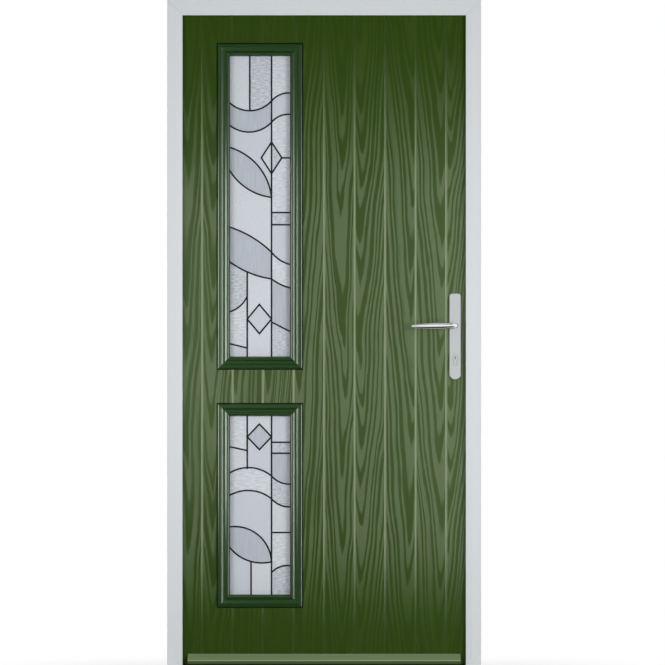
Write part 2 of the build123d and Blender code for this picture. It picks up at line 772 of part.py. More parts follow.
def hinge_door_screw_places():
    """Head places of the screws that hold the hinges' door leaves."""
    start = hinge_x + HINGE_BARREL + HINGE_KNUCKLE_GAP
    columns = (start + HINGE_SCREW_INSET, start + HINGE_DOOR_PLATE - HINGE_SCREW_INSET)
    reach = HINGE_HEIGHT / 2 - HINGE_SCREW_INSET
    y = leaf_back + HINGE_PLATE
    return [(x, y, z + step) for _, z in hinge_heights for x in columns for step in (-reach, reach)]


def hinge_door_holes():
    """Room for those screws."""
    return screws_at(hinge_door_screw_places(), (0, 1, 0), HINGE_DOOR_SCREW_LENGTH, SCREW_CLEARANCE)


def hinge_pins():
    """The three pins, each with a cap on its two ends."""
    pins = []
    for _, z in hinge_heights:
        low, high = around(z, HINGE_HEIGHT / 2)
        pin = along_z(disc(hinge_x, hinge_y, HINGE_PIN), low, high)
        for start, end in ((low - HINGE_PIN_CAP_HEIGHT, low), (high, high + HINGE_PIN_CAP_HEIGHT)):
            pin = pin + along_z(disc(hinge_x, hinge_y, HINGE_PIN_CAP), start, end)
        pins.append(pin)
    return group(pins)


# Leaf
def light_panel(light, inset):
    """A light's rectangle, drawn in (x, z) and inset from its cassette's outer edge."""
    width = CASSETTE_WIDTH - 2 * inset
    height = light.top - light.bottom - 2 * inset
    return Pos(light_centre, (light.bottom + light.top) / 2) * Rectangle(width, height)


def light_openings(front, back):
    """The openings for both lights through the leaf."""
    return [along_y(light_panel(light, opening_inset), front, back) for light in lights]


def euro_profile(grow):
    """The key cylinder's section, drawn in (x, z)."""
    radius = CYLINDER_RADIUS + grow
    web = CYLINDER_WEB / 2 + grow
    foot = key_height + CYLINDER_RADIUS - CYLINDER_HEIGHT + CYLINDER_WEB / 2
    stem = rectangle_between(spindle_x - web, spindle_x + web, foot, key_height)
    return disc(spindle_x, key_height, radius) + stem + disc(spindle_x, foot, web)


def handle_holes(front, back):
    """Holes through the leaf for the follower, the key cylinder and the handle's bolts."""
    spindle = along_y(disc(spindle_x, LEVER_HEIGHT, FOLLOWER_RADIUS + POCKET_CLEARANCE), front, back)
    cylinder = along_y(euro_profile(CYLINDER_CLEARANCE), front, back)
    bolts = [along_y(disc(spindle_x, z, HANDLE_BOLT + SCREW_CLEARANCE), front, back) for z in plate_bolts]
    return [spindle, cylinder] + bolts


def plain_skin():
    """The outer skin with its grooves and the openings that both skins share."""
    half = GROOVE_WIDTH / 2
    points = [(-leaf_half, leaf_front)]
    for index in range(GROOVE_COUNT):
        x = (index - (GROOVE_COUNT - 1) / 2) * groove_pitch
        points += [(x - half, leaf_front), (x, leaf_front + GROOVE_DEPTH), (x + half, leaf_front)]
    points += [(leaf_half, leaf_front), (leaf_half, core_front), (-leaf_half, core_front)]
    skin = along_z(face_of(points), LEAF_FOOT, leaf_top)
    front, back = leaf_front - OVERRUN, core_front + OVERRUN
    return cut_all(skin, light_openings(front, back) + handle_holes(front, back))


def inner_skin():
    """The inner skin, also let in for the hinges' screws."""
    return cut_all(mirror(plain_skin(), about=middle_plane), hinge_door_holes())


def hinge_stile():
    """The timber under the hinges."""
    stile = block((-leaf_half, -core_half), (core_front, core_back), (LEAF_FOOT, leaf_top))
    return cut_all(stile, hinge_door_holes())


def lock_stile():
    """The timber that the lock is let into."""
    stile = block((core_half, leaf_half), (core_front, core_back), (LEAF_FOOT, leaf_top))
    front, back = core_front - OVERRUN, core_back + OVERRUN
    room = POCKET_CLEARANCE
    case_y = (case_front - room, case_back + room)
    edge = leaf_half + OVERRUN
    case_x = (leaf_half - FACEPLATE_THICKNESS - CASE_DEPTH - room, edge)
    pockets = [block(case_x, case_y, (case_low - room, case_high + room))]
    hook_case_x = (faceplate_back - HOOK_CASE_DEPTH - room, edge)
    for _, z in hook_heights:
        pockets.append(block(hook_case_x, case_y, (z - HOOK_CASE_BELOW - room, z + HOOK_CASE_ABOVE + room)))
    low, high = faceplate_range()
    pockets.append(block((faceplate_back, edge), around(leaf_mid, FACEPLATE_WIDTH / 2), (low, high)))
    rod_x_range = around(rod_x, ROD_WIDTH / 2 + room)
    rods = (hook_heights[0][1], hook_heights[1][1])
    pockets.append(block(rod_x_range, (rod_front - room, rod_back + room), rods))
    stile = cut_all(stile, pockets + handle_holes(front, back))
    return cut_all(stile, faceplate_screw_holes())


def rail(z_range):
    """A timber rail between the stiles."""
    return block((-core_half, core_half), (core_front, core_back), z_range)


def foam_core():
    """The insulating core between the rails, open for both lights."""
    z_range = (LEAF_FOOT + BOTTOM_RAIL, leaf_top - TOP_RAIL)
    core = block((-core_half, core_half), (core_front, core_back), z_range)
    return cut_all(core, light_openings(core_front - OVERRUN, core_back + OVERRUN))


def weather_bar():
    """The bar that throws rain clear of the threshold, open underneath."""
    nose = leaf_front - WEATHER_BAR_REACH
    nose_top = WEATHER_BAR_TOP - WEATHER_BAR_SLOPE
    nose_foot = nose_top - WEATHER_BAR_NOSE
    wall = WEATHER_BAR_WALL
    section = face_of([
        (leaf_front, WEATHER_BAR_TOP),
        (leaf_front - WEATHER_BAR_LIP, WEATHER_BAR_TOP),
        (nose, nose_top),
        (nose, nose_foot),
        (nose + wall, nose_foot),
        (nose + wall, nose_top - wall),
        (leaf_front - wall, nose_top + wall),
        (leaf_front - wall, nose_foot),
        (leaf_front, nose_foot),
    ])
    return along_x(section, -weather_bar_half, weather_bar_half)


# Glazed lights
def cassette_section():
    """The moulding: across from its outer edge, then out from the leaf's face."""
    lip = CASSETTE_BAND * CASSETTE_LIP_SHARE
    cove = CASSETTE_BAND * CASSETTE_COVE_SHARE
    bead = CASSETTE_BAND * CASSETTE_BEAD_SHARE
    edge = CASSETTE_RISE * CASSETTE_EDGE_SHARE
    quirk = CASSETTE_RISE * CASSETTE_QUIRK_SHARE
    bead_foot = CASSETTE_RISE * BEAD_FOOT_SHARE
    bead_end = CASSETTE_RISE * BEAD_END_SHARE
    corner = CASSETTE_ROUND * (1 - math.sqrt(1 / 2))
    shoulder = edge + CASSETTE_ROUND
    ease = CASSETTE_RISE - quirk
    lines = [
        Line((0, 0), (0, edge)),
        ThreePointArc((0, edge), (corner, shoulder - corner), (CASSETTE_ROUND, shoulder)),
        Line((CASSETTE_ROUND, shoulder), (lip - ease, CASSETTE_RISE)),
        Line((lip - ease, CASSETTE_RISE), (lip, quirk)),
        ThreePointArc((lip, quirk), ((lip + cove) / 2, CASSETTE_RISE * COVE_FLOOR_SHARE), (cove, bead_foot)),
        ThreePointArc((cove, bead_foot), ((cove + bead) / 2, CASSETTE_RISE * BEAD_TOP_SHARE), (bead, bead_end)),
        Polyline(
            (bead, bead_end),
            (CASSETTE_BAND, 0),
            (CASSETTE_BAND, -cassette_seat),
            (body_inset, -cassette_seat),
            (body_inset, 0),
            (0, 0),
        ),
    ]
    return make_face(lines)


def mitred_side(length):
    """One side of a cassette, cut to a mitre at both ends: across, out, then along."""
    far = CASSETTE_BAND + OVERRUN
    points = [(-OVERRUN, -OVERRUN), (far, far), (far, length - far), (-OVERRUN, length + OVERRUN)]
    reach = CASSETTE_RISE + cassette_seat
    return along_z(cassette_section(), 0, length) & along_y(face_of(points), -reach, reach)


def cassette_ring(light):
    """The outer cassette's moulding carried round its light, with bosses for its screws."""
    left, right = around(light_centre, CASSETTE_WIDTH / 2)
    height = light.top - light.bottom
    sides = [
        ((left, light.bottom), (0, 0, 1), (1, 0, 0), CASSETTE_WIDTH),
        ((right, light.bottom), (-1, 0, 0), (0, 0, 1), height),
        ((right, light.top), (0, 0, -1), (-1, 0, 0), CASSETTE_WIDTH),
        ((left, light.top), (1, 0, 0), (0, 0, -1), height),
    ]
    ring = Part()
    for (x, z), inward, onward, length in sides:
        plane = Plane(origin=(x, leaf_front, z), x_dir=inward, z_dir=onward)
        ring = ring + plane * mitred_side(length)
    for x, z in cassette_screw_spots(light):
        ring = ring + along_y(disc(x, z, CASSETTE_BOSS_RADIUS), leaf_front + cassette_seat, leaf_mid)
    return ring


def cassette_screw_spots(light):
    """Places of a light's screws, in (x, z), evenly spaced along its two sides and at its ends."""
    side = CASSETTE_WIDTH / 2 - boss_inset
    low, high = light.bottom + boss_inset, light.top - boss_inset
    steps = max(2, round((high - low) / CASSETTE_SCREW_PITCH))
    heights = [low + (high - low) * (index + 1 / 2) / steps for index in range(steps)]
    spots = [(light_centre + sign * side, z) for sign in (-1, 1) for z in heights]
    return spots + [(light_centre, low), (light_centre, high)]


def cassette_screw_solids(light, grow=0.0):
    """Screws from the inner cassette's cove into the outer cassette's bosses."""
    head = leaf_back + CASSETTE_RISE * COVE_FLOOR_SHARE
    length = head - leaf_mid + CASSETTE_BOSS_RADIUS
    places = [(x, head, z) for x, z in cassette_screw_spots(light)]
    return screws_at(places, (0, 1, 0), length, grow)


def outer_cassette(light):
    """The half of a cassette that shows outside."""
    return cut_all(cassette_ring(light), cassette_screw_solids(light, SCREW_CLEARANCE))


def inner_cassette(light):
    """The half of a cassette that shows inside, with countersunk holes for its screws."""
    ring = mirror(cassette_ring(light), about=middle_plane)
    head = leaf_back + CASSETTE_RISE * COVE_FLOOR_SHARE
    sinks = [
        along_y(disc(x, z, SCREW_HEAD + SCREW_CLEARANCE), head, leaf_back + CASSETTE_RISE + OVERRUN)
        for x, z in cassette_screw_spots(light)
    ]
    return cut_all(ring, cassette_screw_solids(light, SCREW_CLEARANCE) + sinks)


def cassette_screws():
    """The screws of both lights."""
    return group([solid for light in lights for solid in cassette_screw_solids(light)])


def pane(light, front):
    """A sheet of clear glass."""
    return along_y(light_panel(light, unit_inset), front, front + PANE_THICKNESS)


def glazing_seals():
    """The seals between each cassette and its glass."""
    rings = []
    for light in lights:
        face = light_panel(light, unit_inset) - light_panel(light, CASSETTE_BAND + GLAZING_SEAL_SHOW)
        seal = along_y(face, glass_front - GLAZING_SEAL, glass_front)
        rings += [seal, mirror(seal, about=middle_plane)]
    return group(rings)


def glass_spacers():
    """The bars that hold the panes off the leaded panels."""
    rings = []
    for light in lights:
        face = light_panel(light, unit_inset) - light_panel(light, unit_inset + SPACER_WIDTH)
        front = glass_front + PANE_THICKNESS
        bar = along_y(face, front, front + CAVITY_DEPTH)
        rings += [bar, mirror(bar, about=middle_plane)]
    return group(rings)


def came_strips(light):
    """The cames of a leaded panel as flat strips, clipped to the panel."""
    inset = unit_inset + CAME_BORDER
    width = CASSETTE_WIDTH - 2 * inset
    height = light.top - light.bottom - 2 * inset
    left, low = light_centre - width / 2, light.bottom + inset
    strips = light_panel(light, unit_inset) - light_panel(light, inset)
    for shares in light.cames:
        points = [(left + width * across, low + height * up) for across, up in shares]
        curve = ThreePointArc(*points) if len(points) == 3 else Polyline(*points)
        strips = strips + trace(curve, CAME_WIDTH)
    return strips & light_panel(light, unit_inset)


def leaded_cames(light):
    """The soldered lattice of one leaded panel."""
    return along_y(came_strips(light), leaf_mid - CAME_DEPTH / 2, leaf_mid + CAME_DEPTH / 2)


def leaded_glass(light):
    """The pieces of textured glass between the cames."""
    faces = light_panel(light, unit_inset) - came_strips(light)
    half = ART_GLASS_THICKNESS / 2
    return group([along_y(face, leaf_mid - half, leaf_mid + half) for face in faces.faces()])


# Handle set
def plate_outline(inset):
    """The backplate's outline in (x, z): small corners above, a full curve below."""
    half = PLATE_WIDTH / 2 - inset
    low, high = plate_low + inset, plate_high - inset
    shoulder = low + PLATE_SAGITTA
    radius = PLATE_TOP_RADIUS - inset
    corner = radius * (1 - math.sqrt(1 / 2))
    left, right = spindle_x - half, spindle_x + half
    return make_face([
        ThreePointArc((left, shoulder), (spindle_x, low), (right, shoulder)),
        Line((right, shoulder), (right, high - radius)),
        ThreePointArc((right, high - radius), (right - corner, high - corner), (right - radius, high)),
        Line((right - radius, high), (left + radius, high)),
        ThreePointArc((left + radius, high), (left + corner, high - corner), (left, high - radius)),
        Line((left, high - radius), (left, shoulder)),
    ])


def plain_backplate():
    """The outer backplate: a rounded shell with a collar for the lever and a boss round each bolt."""
    plate = along_y(plate_outline(0), plate_front, leaf_front)
    plate = fillet(plate.faces().sort_by(Axis.Y)[0].edges(), PLATE_ROUND)
    plate = plate - along_y(plate_outline(PLATE_WALL), plate_front + PLATE_WALL, leaf_front + OVERRUN)
    collar = disc(spindle_x, LEVER_HEIGHT, COLLAR_RADIUS)
    plate = plate + along_y(collar, plate_front - COLLAR_HEIGHT, leaf_front)
    for z in plate_bolts:
        plate = plate + along_y(disc(spindle_x, z, PLATE_BOSS), plate_front + PLATE_WALL, leaf_front)
    through = (plate_front - COLLAR_HEIGHT - OVERRUN, leaf_front + OVERRUN)
    plate = plate - along_y(disc(spindle_x, LEVER_HEIGHT, LEVER_BUSH + SHAFT_FIT), *through)
    return plate - along_y(euro_profile(CYLINDER_CLEARANCE), *through)


def outer_backplate():
    """The plate outside, with blind bosses for the bolts."""
    bolt_end = plate_front + PLATE_WALL
    holes = [
        along_y(disc(spindle_x, z, HANDLE_BOLT + SEAT_FIT), bolt_end, leaf_front + OVERRUN)
        for z in plate_bolts
    ]
    return cut_all(plain_backplate(), holes)


def handle_bolt_solids(grow=0.0):
    """The two bolts that pull the backplates together, their heads on the inner plate."""
    head = leaf_back + PLATE_DEPTH
    length = head - plate_front - PLATE_WALL - SCREW_CLEARANCE
    return [
        Plane(origin=(spindle_x, head, z), z_dir=(0, 1, 0))
        * screw(length, grow, HANDLE_BOLT_HEAD, HANDLE_BOLT)
        for z in plate_bolts
    ]


def inner_backplate():
    """The plate inside, countersunk for the bolts."""
    return cut_all(mirror(plain_backplate(), about=middle_plane), handle_bolt_solids(SCREW_CLEARANCE))


def outer_lever():
    """The lever outside: a bush in the plate, a bent neck and a tapering grip with a rounded end."""
    grip_y = leaf_front - LEVER_PROJECTION
    bend_y = grip_y + LEVER_BEND
    bend_x = spindle_x - LEVER_BEND
    bush_front = plate_front - COLLAR_HEIGHT - BOLT_CLEARANCE
    lever = along_y(disc(spindle_x, LEVER_HEIGHT, LEVER_BUSH), bush_front, leaf_front - BOLT_CLEARANCE)
    lever = lever + along_y(disc(spindle_x, LEVER_HEIGHT, LEVER_RADIUS), bend_y, bush_front)
    neck_end = Plane(origin=(spindle_x, bend_y, LEVER_HEIGHT), x_dir=(1, 0, 0), z_dir=(0, -1, 0))
    bend_axis = Axis((bend_x, bend_y, LEVER_HEIGHT), (0, 0, -1))
    lever = lever + revolve(neck_end * Circle(LEVER_RADIUS), bend_axis, 90)
    run = LEVER_LENGTH - LEVER_BEND
    sections = []
    for station, tall, thick in zip(LEVER_STATION_SHARES, LEVER_TALL_SHARES, LEVER_THICK_SHARES):
        place = (bend_x - run * station, grip_y, LEVER_HEIGHT - LEVER_DROOP * station)
        plane = Plane(origin=place, x_dir=(0, 0, 1), z_dir=(-1, 0, 0))
        sections.append(plane * Ellipse(LEVER_RADIUS * tall, LEVER_RADIUS * thick))
    grip = loft(sections)
    grip = fillet(grip.faces().sort_by(Axis.X)[0].edges(), LEVER_TIP_ROUND)
    side = SPINDLE_SIDE / 2 + SHAFT_FIT
    socket = block(
        around(spindle_x, side),
        (leaf_front - SPINDLE_REACH - SHAFT_FIT, leaf_front + OVERRUN),
        around(LEVER_HEIGHT, side),
    )
    return lever + grip - socket


def spindle():
    """The square bar that joins the levers through the follower."""
    side = SPINDLE_SIDE / 2
    y_range = (leaf_front - SPINDLE_REACH, leaf_back + SPINDLE_REACH)
    return block(around(spindle_x, side), y_range, around(LEVER_HEIGHT, side))


# Key cylinder
def cylinder_body():
    """The cylinder's housing, bored from both ends and open in the middle for its cam."""
    front, back = plate_front - CYLINDER_PROUD, leaf_back + PLATE_DEPTH + CYLINDER_PROUD
    body = along_y(euro_profile(0), front, back)
    body = body - along_y(
        disc(spindle_x, key_height, PLUG_RADIUS + SHAFT_FIT), front - OVERRUN, back + OVERRUN
    )
    cam_half = CAM_WIDTH / 2 + CAM_CLEARANCE
    room = CAM_REACH + CAM_CLEARANCE
    return body - along_y(disc(spindle_x, key_height, room), leaf_mid - cam_half, leaf_mid + cam_half)


def key_plug():
    """The plug outside, cut for a key."""
    front = plate_front - CYLINDER_PROUD - PLUG_PROUD
    back = leaf_mid - CAM_WIDTH / 2 - CAM_CLEARANCE
    plug = along_y(disc(spindle_x, key_height, PLUG_RADIUS), front, back)
    return plug - block(
        around(spindle_x, KEYWAY_WIDTH / 2),
        (front - OVERRUN, front + KEYWAY_DEPTH),
        around(key_height, KEYWAY_HEIGHT / 2),
    )


def thumb_turn():
    """The plug inside with the turn that is worked by hand."""
    face = leaf_back + PLATE_DEPTH + CYLINDER_PROUD
    neck = face + THUMB_NECK
    turn = along_y(disc(spindle_x, key_height, PLUG_RADIUS), leaf_mid + CAM_WIDTH / 2, neck)
    outline = Pos(spindle_x, key_height) * SlotOverall(THUMB_LENGTH, THUMB_THICKNESS, rotation=90)
    grip = along_y(outline, neck, face + THUMB_REACH)
    grip = chamfer(grip.faces().sort_by(Axis.Y)[-1].edges(), PLUG_PROUD)
    return turn + grip


def cylinder_cam():
    """The cam that the plugs turn to work the lock."""
    y_range = (leaf_mid - CAM_WIDTH / 2, leaf_mid + CAM_WIDTH / 2)
    tooth = rectangle_between(
        spindle_x - CYLINDER_WEB / 2, spindle_x + CYLINDER_WEB / 2, key_height - CAM_REACH, key_height
    )
    tooth = tooth & disc(spindle_x, key_height, CAM_REACH)
    return along_y(disc(spindle_x, key_height, CYLINDER_RADIUS) + tooth, *y_range)


# Lock
def faceplate_range():
    """The lowest and highest places of the faceplate."""
    return hook_heights[0][1] - FACEPLATE_END, hook_heights[1][1] + FACEPLATE_END


def faceplate_screw_places():
    """Head places of the faceplate's screws: near its ends and either side of the lock case."""
    low, high = faceplate_range()
    inset = FACEPLATE_SCREW_INSET
    heights = [low + inset, case_low - inset, case_high + inset, high - inset]
    return [(leaf_half, leaf_mid, z) for z in heights]


def faceplate_screw_holes():
    """Room for those screws."""
    return screws_at(faceplate_screw_places(), (1, 0, 0), FACEPLATE_SCREW_LENGTH, SCREW_CLEARANCE)


def lock_faceplate():
    """The long strip in the leaf's edge, open for the latch, the deadbolt and the hooks."""
    low, high = faceplate_range()
    plate = block((faceplate_back, leaf_half), around(leaf_mid, FACEPLATE_WIDTH / 2), (low, high))
    through = (faceplate_back - OVERRUN, leaf_half + OVERRUN)
    ease = BOLT_CLEARANCE
    latch_z = around(latch_height, LATCH_HEIGHT / 2 + ease)
    bolt_z = around(deadbolt_height, DEADBOLT_HEIGHT / 2 + ease)
    cuts = [
        block(through, around(leaf_mid, LATCH_WIDTH / 2 + ease), latch_z),
        block(through, around(leaf_mid, DEADBOLT_WIDTH / 2 + ease), bolt_z),
    ]
    for _, z in hook_heights:
        hook_y = around(hook_mid, HOOK_THICKNESS / 2 + ease)
        cuts.append(block(through, hook_y, (z - slot_bottom, z + slot_top)))
    return cut_all(plate, cuts + faceplate_screw_holes())


def leaf_screws():
    """The screws of the faceplate and of the hinges' door leaves."""
    edge = screws_at(faceplate_screw_places(), (1, 0, 0), FACEPLATE_SCREW_LENGTH)
    hinges = screws_at(hinge_door_screw_places(), (0, 1, 0), HINGE_DOOR_SCREW_LENGTH)
    return group(edge + hinges)


def tray(depth, low, high):
    """A folded case behind the faceplate, open towards it, with room for the rods at both ends."""
    outer_x = (faceplate_back - depth, faceplate_back)
    outer = block(outer_x, (case_front, case_back), (low, high))
    inner = block(
        (outer_x[0] + CASE_WALL, faceplate_back + OVERRUN),
        (case_front + CASE_WALL, case_back - CASE_WALL),
        (low + CASE_WALL, high - CASE_WALL),
    )
    rods = block(
        around(rod_x, ROD_WIDTH / 2 + BOLT_CLEARANCE),
        (rod_front - BOLT_CLEARANCE, rod_back + BOLT_CLEARANCE),
        (low - OVERRUN, high + OVERRUN),
    )
    return outer - inner - rods


def lock_case():
    """The case round the latch and the deadbolt, bored for the follower and the key cylinder."""
    y_range = (case_front - OVERRUN, case_back + OVERRUN)
    bore = along_y(disc(spindle_x, LEVER_HEIGHT, FOLLOWER_RADIUS + SHAFT_FIT), *y_range)
    cylinder = along_y(euro_profile(CYLINDER_CLEARANCE), *y_range)
    return tray(CASE_DEPTH, case_low, case_high) - bore - cylinder


def hook_cases():
    """The cases of both hooks, each with the pivot that its hook turns on."""
    cases = []
    for _, z in hook_heights:
        case = tray(HOOK_CASE_DEPTH, z - HOOK_CASE_BELOW, z + HOOK_CASE_ABOVE)
        cases.append(case + along_y(disc(hook_x, z, HOOK_PIVOT), case_front, case_back))
    return group(cases)


def follower():
    """The hub that the spindle turns, with the arm that draws the latch."""
    hub = along_y(disc(spindle_x, LEVER_HEIGHT, FOLLOWER_RADIUS), case_front, case_back)
    arm = block(
        around(spindle_x, FOLLOWER_ARM_WIDTH / 2),
        around(leaf_mid, FOLLOWER_ARM_THICKNESS / 2),
        (LEVER_HEIGHT, LEVER_HEIGHT + FOLLOWER_ARM),
    )
    side = SPINDLE_SIDE / 2 + SHAFT_FIT
    hole = block(
        around(spindle_x, side),
        (case_front - OVERRUN, case_back + OVERRUN),
        around(LEVER_HEIGHT, side),
    )
    return hub + arm - hole


def latch_bolt():
    """The sloped latch, its tail beside the follower's arm and the lug that the arm draws back."""
    back = leaf_half - LATCH_LENGTH
    y_low, y_high = around(leaf_mid, LATCH_WIDTH / 2)
    head = along_z(
        face_of([(back, y_low), (leaf_half - LATCH_WIDTH, y_low), (leaf_half, y_high), (back, y_high)]),
        latch_height - LATCH_HEIGHT / 2,
        latch_height + LATCH_HEIGHT / 2,
    )
    lug_front = spindle_x - FOLLOWER_ARM_WIDTH / 2 - LATCH_THROW - BOLT_CLEARANCE
    tail_y = (y_low, y_low + LATCH_TAIL_THICKNESS)
    tail_z = around(latch_height, LATCH_TAIL_HEIGHT / 2)
    tail = block((lug_front - LATCH_LUG, back), tail_y, tail_z)
    lug = block(
        (lug_front - LATCH_LUG, lug_front),
        (y_low, leaf_mid + FOLLOWER_ARM_THICKNESS / 2),
        (LEVER_HEIGHT + FOLLOWER_ARM - FOLLOWER_ARM_WIDTH / 2, latch_height),
    )
    return head + tail + lug


def deadbolt():
    """The square bolt with its front edges eased."""
    bolt = block(
        (leaf_half - DEADBOLT_LENGTH, leaf_half),
        around(leaf_mid, DEADBOLT_WIDTH / 2),
        around(deadbolt_height, DEADBOLT_HEIGHT / 2),
    )
    return fillet(bolt.faces().sort_by(Axis.X)[-1].edges(), DEADBOLT_ROUND)


def hook(z):
    """A swinging hook: its boss, its arm hanging down, its beak, and the lobe with its drive pin."""
    arm = rectangle_between(HOOK_ARM_LEAN - HOOK_ARM_WIDTH, HOOK_ARM_LEAN, -HOOK_REACH, 0)
    beak = rectangle_between(0, HOOK_BEAK_REACH, -HOOK_REACH, HOOK_BEAK_HEIGHT - HOOK_REACH)
    shape = Circle(HOOK_BOSS) + ((arm + beak) & Circle(HOOK_REACH + BOLT_CLEARANCE))
    lobe = trace(Line((0, 0), (-pin_near, pin_rise)), HOOK_PIVOT * 2)
    shape = shape + lobe + disc(-pin_near, pin_rise, HOOK_PIVOT) - Circle(HOOK_PIVOT + SHAFT_FIT)
    plate = along_y(Pos(hook_x, z) * shape, hook_front, hook_back)
    return plate + along_y(disc(hook_x - pin_near, z + pin_rise, HOOK_PIN), hook_back, rod_back)


def drive_rods():
    """The two flat rods from the lock case to the hooks, each slotted for a hook's drive pin."""
    slot_half = (HOOK_PIN_CENTRE - pin_near) / 2 + HOOK_PIN + ROD_SLOT_SPARE
    rods = []
    lower, upper = hook_heights[0][1], hook_heights[1][1]
    spans = [
        (lower, (lower + pin_rise - ROD_END, case_low + ROD_IN_CASE)),
        (upper, (case_high - ROD_IN_CASE, upper + pin_rise + ROD_END)),
    ]
    for pivot, z_range in spans:
        rod = block(around(rod_x, ROD_WIDTH / 2), (rod_front, rod_back), z_range)
        slot = block(
            around(rod_x, slot_half),
            (rod_front - OVERRUN, rod_back + OVERRUN),
            around(pivot + pin_rise, HOOK_PIN + ROD_SLOT_SPARE),
        )
        rods.append(rod - slot)
    return group(rods)


def build():
    """Every piece by name."""
    pieces = {
        "frame_hinge_jamb": hinge_jamb(),
        "frame_lock_jamb": lock_jamb(),
        "frame_head": frame_head(),
        "frame_steels": frame_steels(),
        "frame_seal": frame_seal(),
        "threshold": threshold(),
        "threshold_seal": threshold_seal(),
        "latch_keep": keep(keep_sets()[0]),
        "hook_keeps": group([keep(windows) for windows in keep_sets()[1:]]),
        "frame_screws": frame_screws(),
        "hinge_pins": hinge_pins(),
        "outer_skin": plain_skin(),
        "inner_skin": inner_skin(),
        "hinge_stile": hinge_stile(),
        "lock_stile": lock_stile(),
        "top_rail": rail((leaf_top - TOP_RAIL, leaf_top)),
        "bottom_rail": rail((LEAF_FOOT, LEAF_FOOT + BOTTOM_RAIL)),
        "foam_core": foam_core(),
        "weather_bar": weather_bar(),
        "leaf_screws": leaf_screws(),
        "cassette_screws": cassette_screws(),
        "glazing_seals": glazing_seals(),
        "glass_spacers": glass_spacers(),
        "outer_backplate": outer_backplate(),
        "inner_backplate": inner_backplate(),
        "handle_bolts": group(handle_bolt_solids()),
        "outer_lever": outer_lever(),
        "inner_lever": mirror(outer_lever(), about=middle_plane),
        "spindle": spindle(),
        "cylinder_body": cylinder_body(),
        "key_plug": key_plug(),
        "thumb_turn": thumb_turn(),
        "cylinder_cam": cylinder_cam(),
        "lock_faceplate": lock_faceplate(),
        "lock_case": lock_case(),
        "hook_cases": hook_cases(),
        "follower": follower(),
        "latch_bolt": latch_bolt(),
        "deadbolt": deadbolt(),
        "drive_rods": drive_rods(),
    }
    for place, z in hinge_heights:
        pieces[place + "_hinge_frame_leaf"] = hinge_frame_leaf(z)
        pieces[place + "_hinge_door_leaf"] = hinge_door_leaf(z)
    for place, z in hook_heights:
        pieces[place + "_hook"] = hook(z)
    for light in lights:
        pieces[light.name + "_outer_cassette"] = outer_cassette(light)
        pieces[light.name + "_inner_cassette"] = inner_cassette(light)
        pieces[light.name + "_outer_pane"] = pane(light, glass_front)
        pieces[light.name + "_inner_pane"] = pane(light, glass_front + unit_thickness - PANE_THICKNESS)
        pieces[light.name + "_leaded_cames"] = leaded_cames(light)
        pieces[light.name + "_leaded_glass"] = leaded_glass(light)
    return pieces


os.makedirs("parts", exist_ok=True)
for piece_name, piece in build().items():
    save(piece_name, piece)
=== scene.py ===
import json
import math

import bpy
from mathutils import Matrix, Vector


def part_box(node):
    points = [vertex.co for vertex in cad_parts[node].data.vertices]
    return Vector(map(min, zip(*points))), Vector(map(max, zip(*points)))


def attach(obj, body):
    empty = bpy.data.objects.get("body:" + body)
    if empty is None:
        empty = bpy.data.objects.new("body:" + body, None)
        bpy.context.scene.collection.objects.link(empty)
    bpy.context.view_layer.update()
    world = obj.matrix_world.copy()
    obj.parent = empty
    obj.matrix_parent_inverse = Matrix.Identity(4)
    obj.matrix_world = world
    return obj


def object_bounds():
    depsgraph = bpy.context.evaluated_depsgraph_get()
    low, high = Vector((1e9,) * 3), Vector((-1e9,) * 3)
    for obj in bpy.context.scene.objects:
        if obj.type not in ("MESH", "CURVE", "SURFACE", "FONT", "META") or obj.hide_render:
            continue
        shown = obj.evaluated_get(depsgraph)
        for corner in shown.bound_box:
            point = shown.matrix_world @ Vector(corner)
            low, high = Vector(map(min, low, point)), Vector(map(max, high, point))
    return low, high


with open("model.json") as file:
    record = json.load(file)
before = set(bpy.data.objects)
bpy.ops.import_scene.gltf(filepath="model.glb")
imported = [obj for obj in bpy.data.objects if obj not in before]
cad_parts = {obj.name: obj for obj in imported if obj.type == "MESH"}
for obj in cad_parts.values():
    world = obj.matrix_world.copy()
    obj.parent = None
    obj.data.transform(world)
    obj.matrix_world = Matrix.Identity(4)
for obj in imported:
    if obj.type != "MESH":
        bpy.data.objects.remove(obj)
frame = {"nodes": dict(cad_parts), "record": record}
cad_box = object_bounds()
nodes = frame["nodes"]

# The photograph's frame, in pixels, and what it shows of the door, in metres
PHOTO_SIZE = 665
METRES_PER_PIXEL = 0.003127
VIEW_CENTRE_X = 0.026
VIEW_CENTRE_Z = 1.0615
CAMERA_DISTANCE = 14.0
SENSOR_WIDTH = 36.0

# How strongly the surroundings light the object
AMBIENT = 0.25

# The flood lamps, a pair in front and a pair behind: their place, aim, beam, size and power
FLOOD_SIDE = 2.4
FLOOD_AWAY = 4.2
FLOOD_HEIGHT = 1.15
FLOOD_AIM = (0.0, 0.0, 1.12)
FLOOD_SPREAD = math.radians(75)
FLOOD_SIZE = 1.8
FLOOD_RIGHT_POWER = 17
FLOOD_LEFT_POWER = 12

# The lamp over the door
TOP_PLACE = (0.0, 0.0, 5.0)
TOP_AIM = (0.0, 0.0, 1.0)
TOP_SIZE = 2.0
TOP_POWER = 6.5

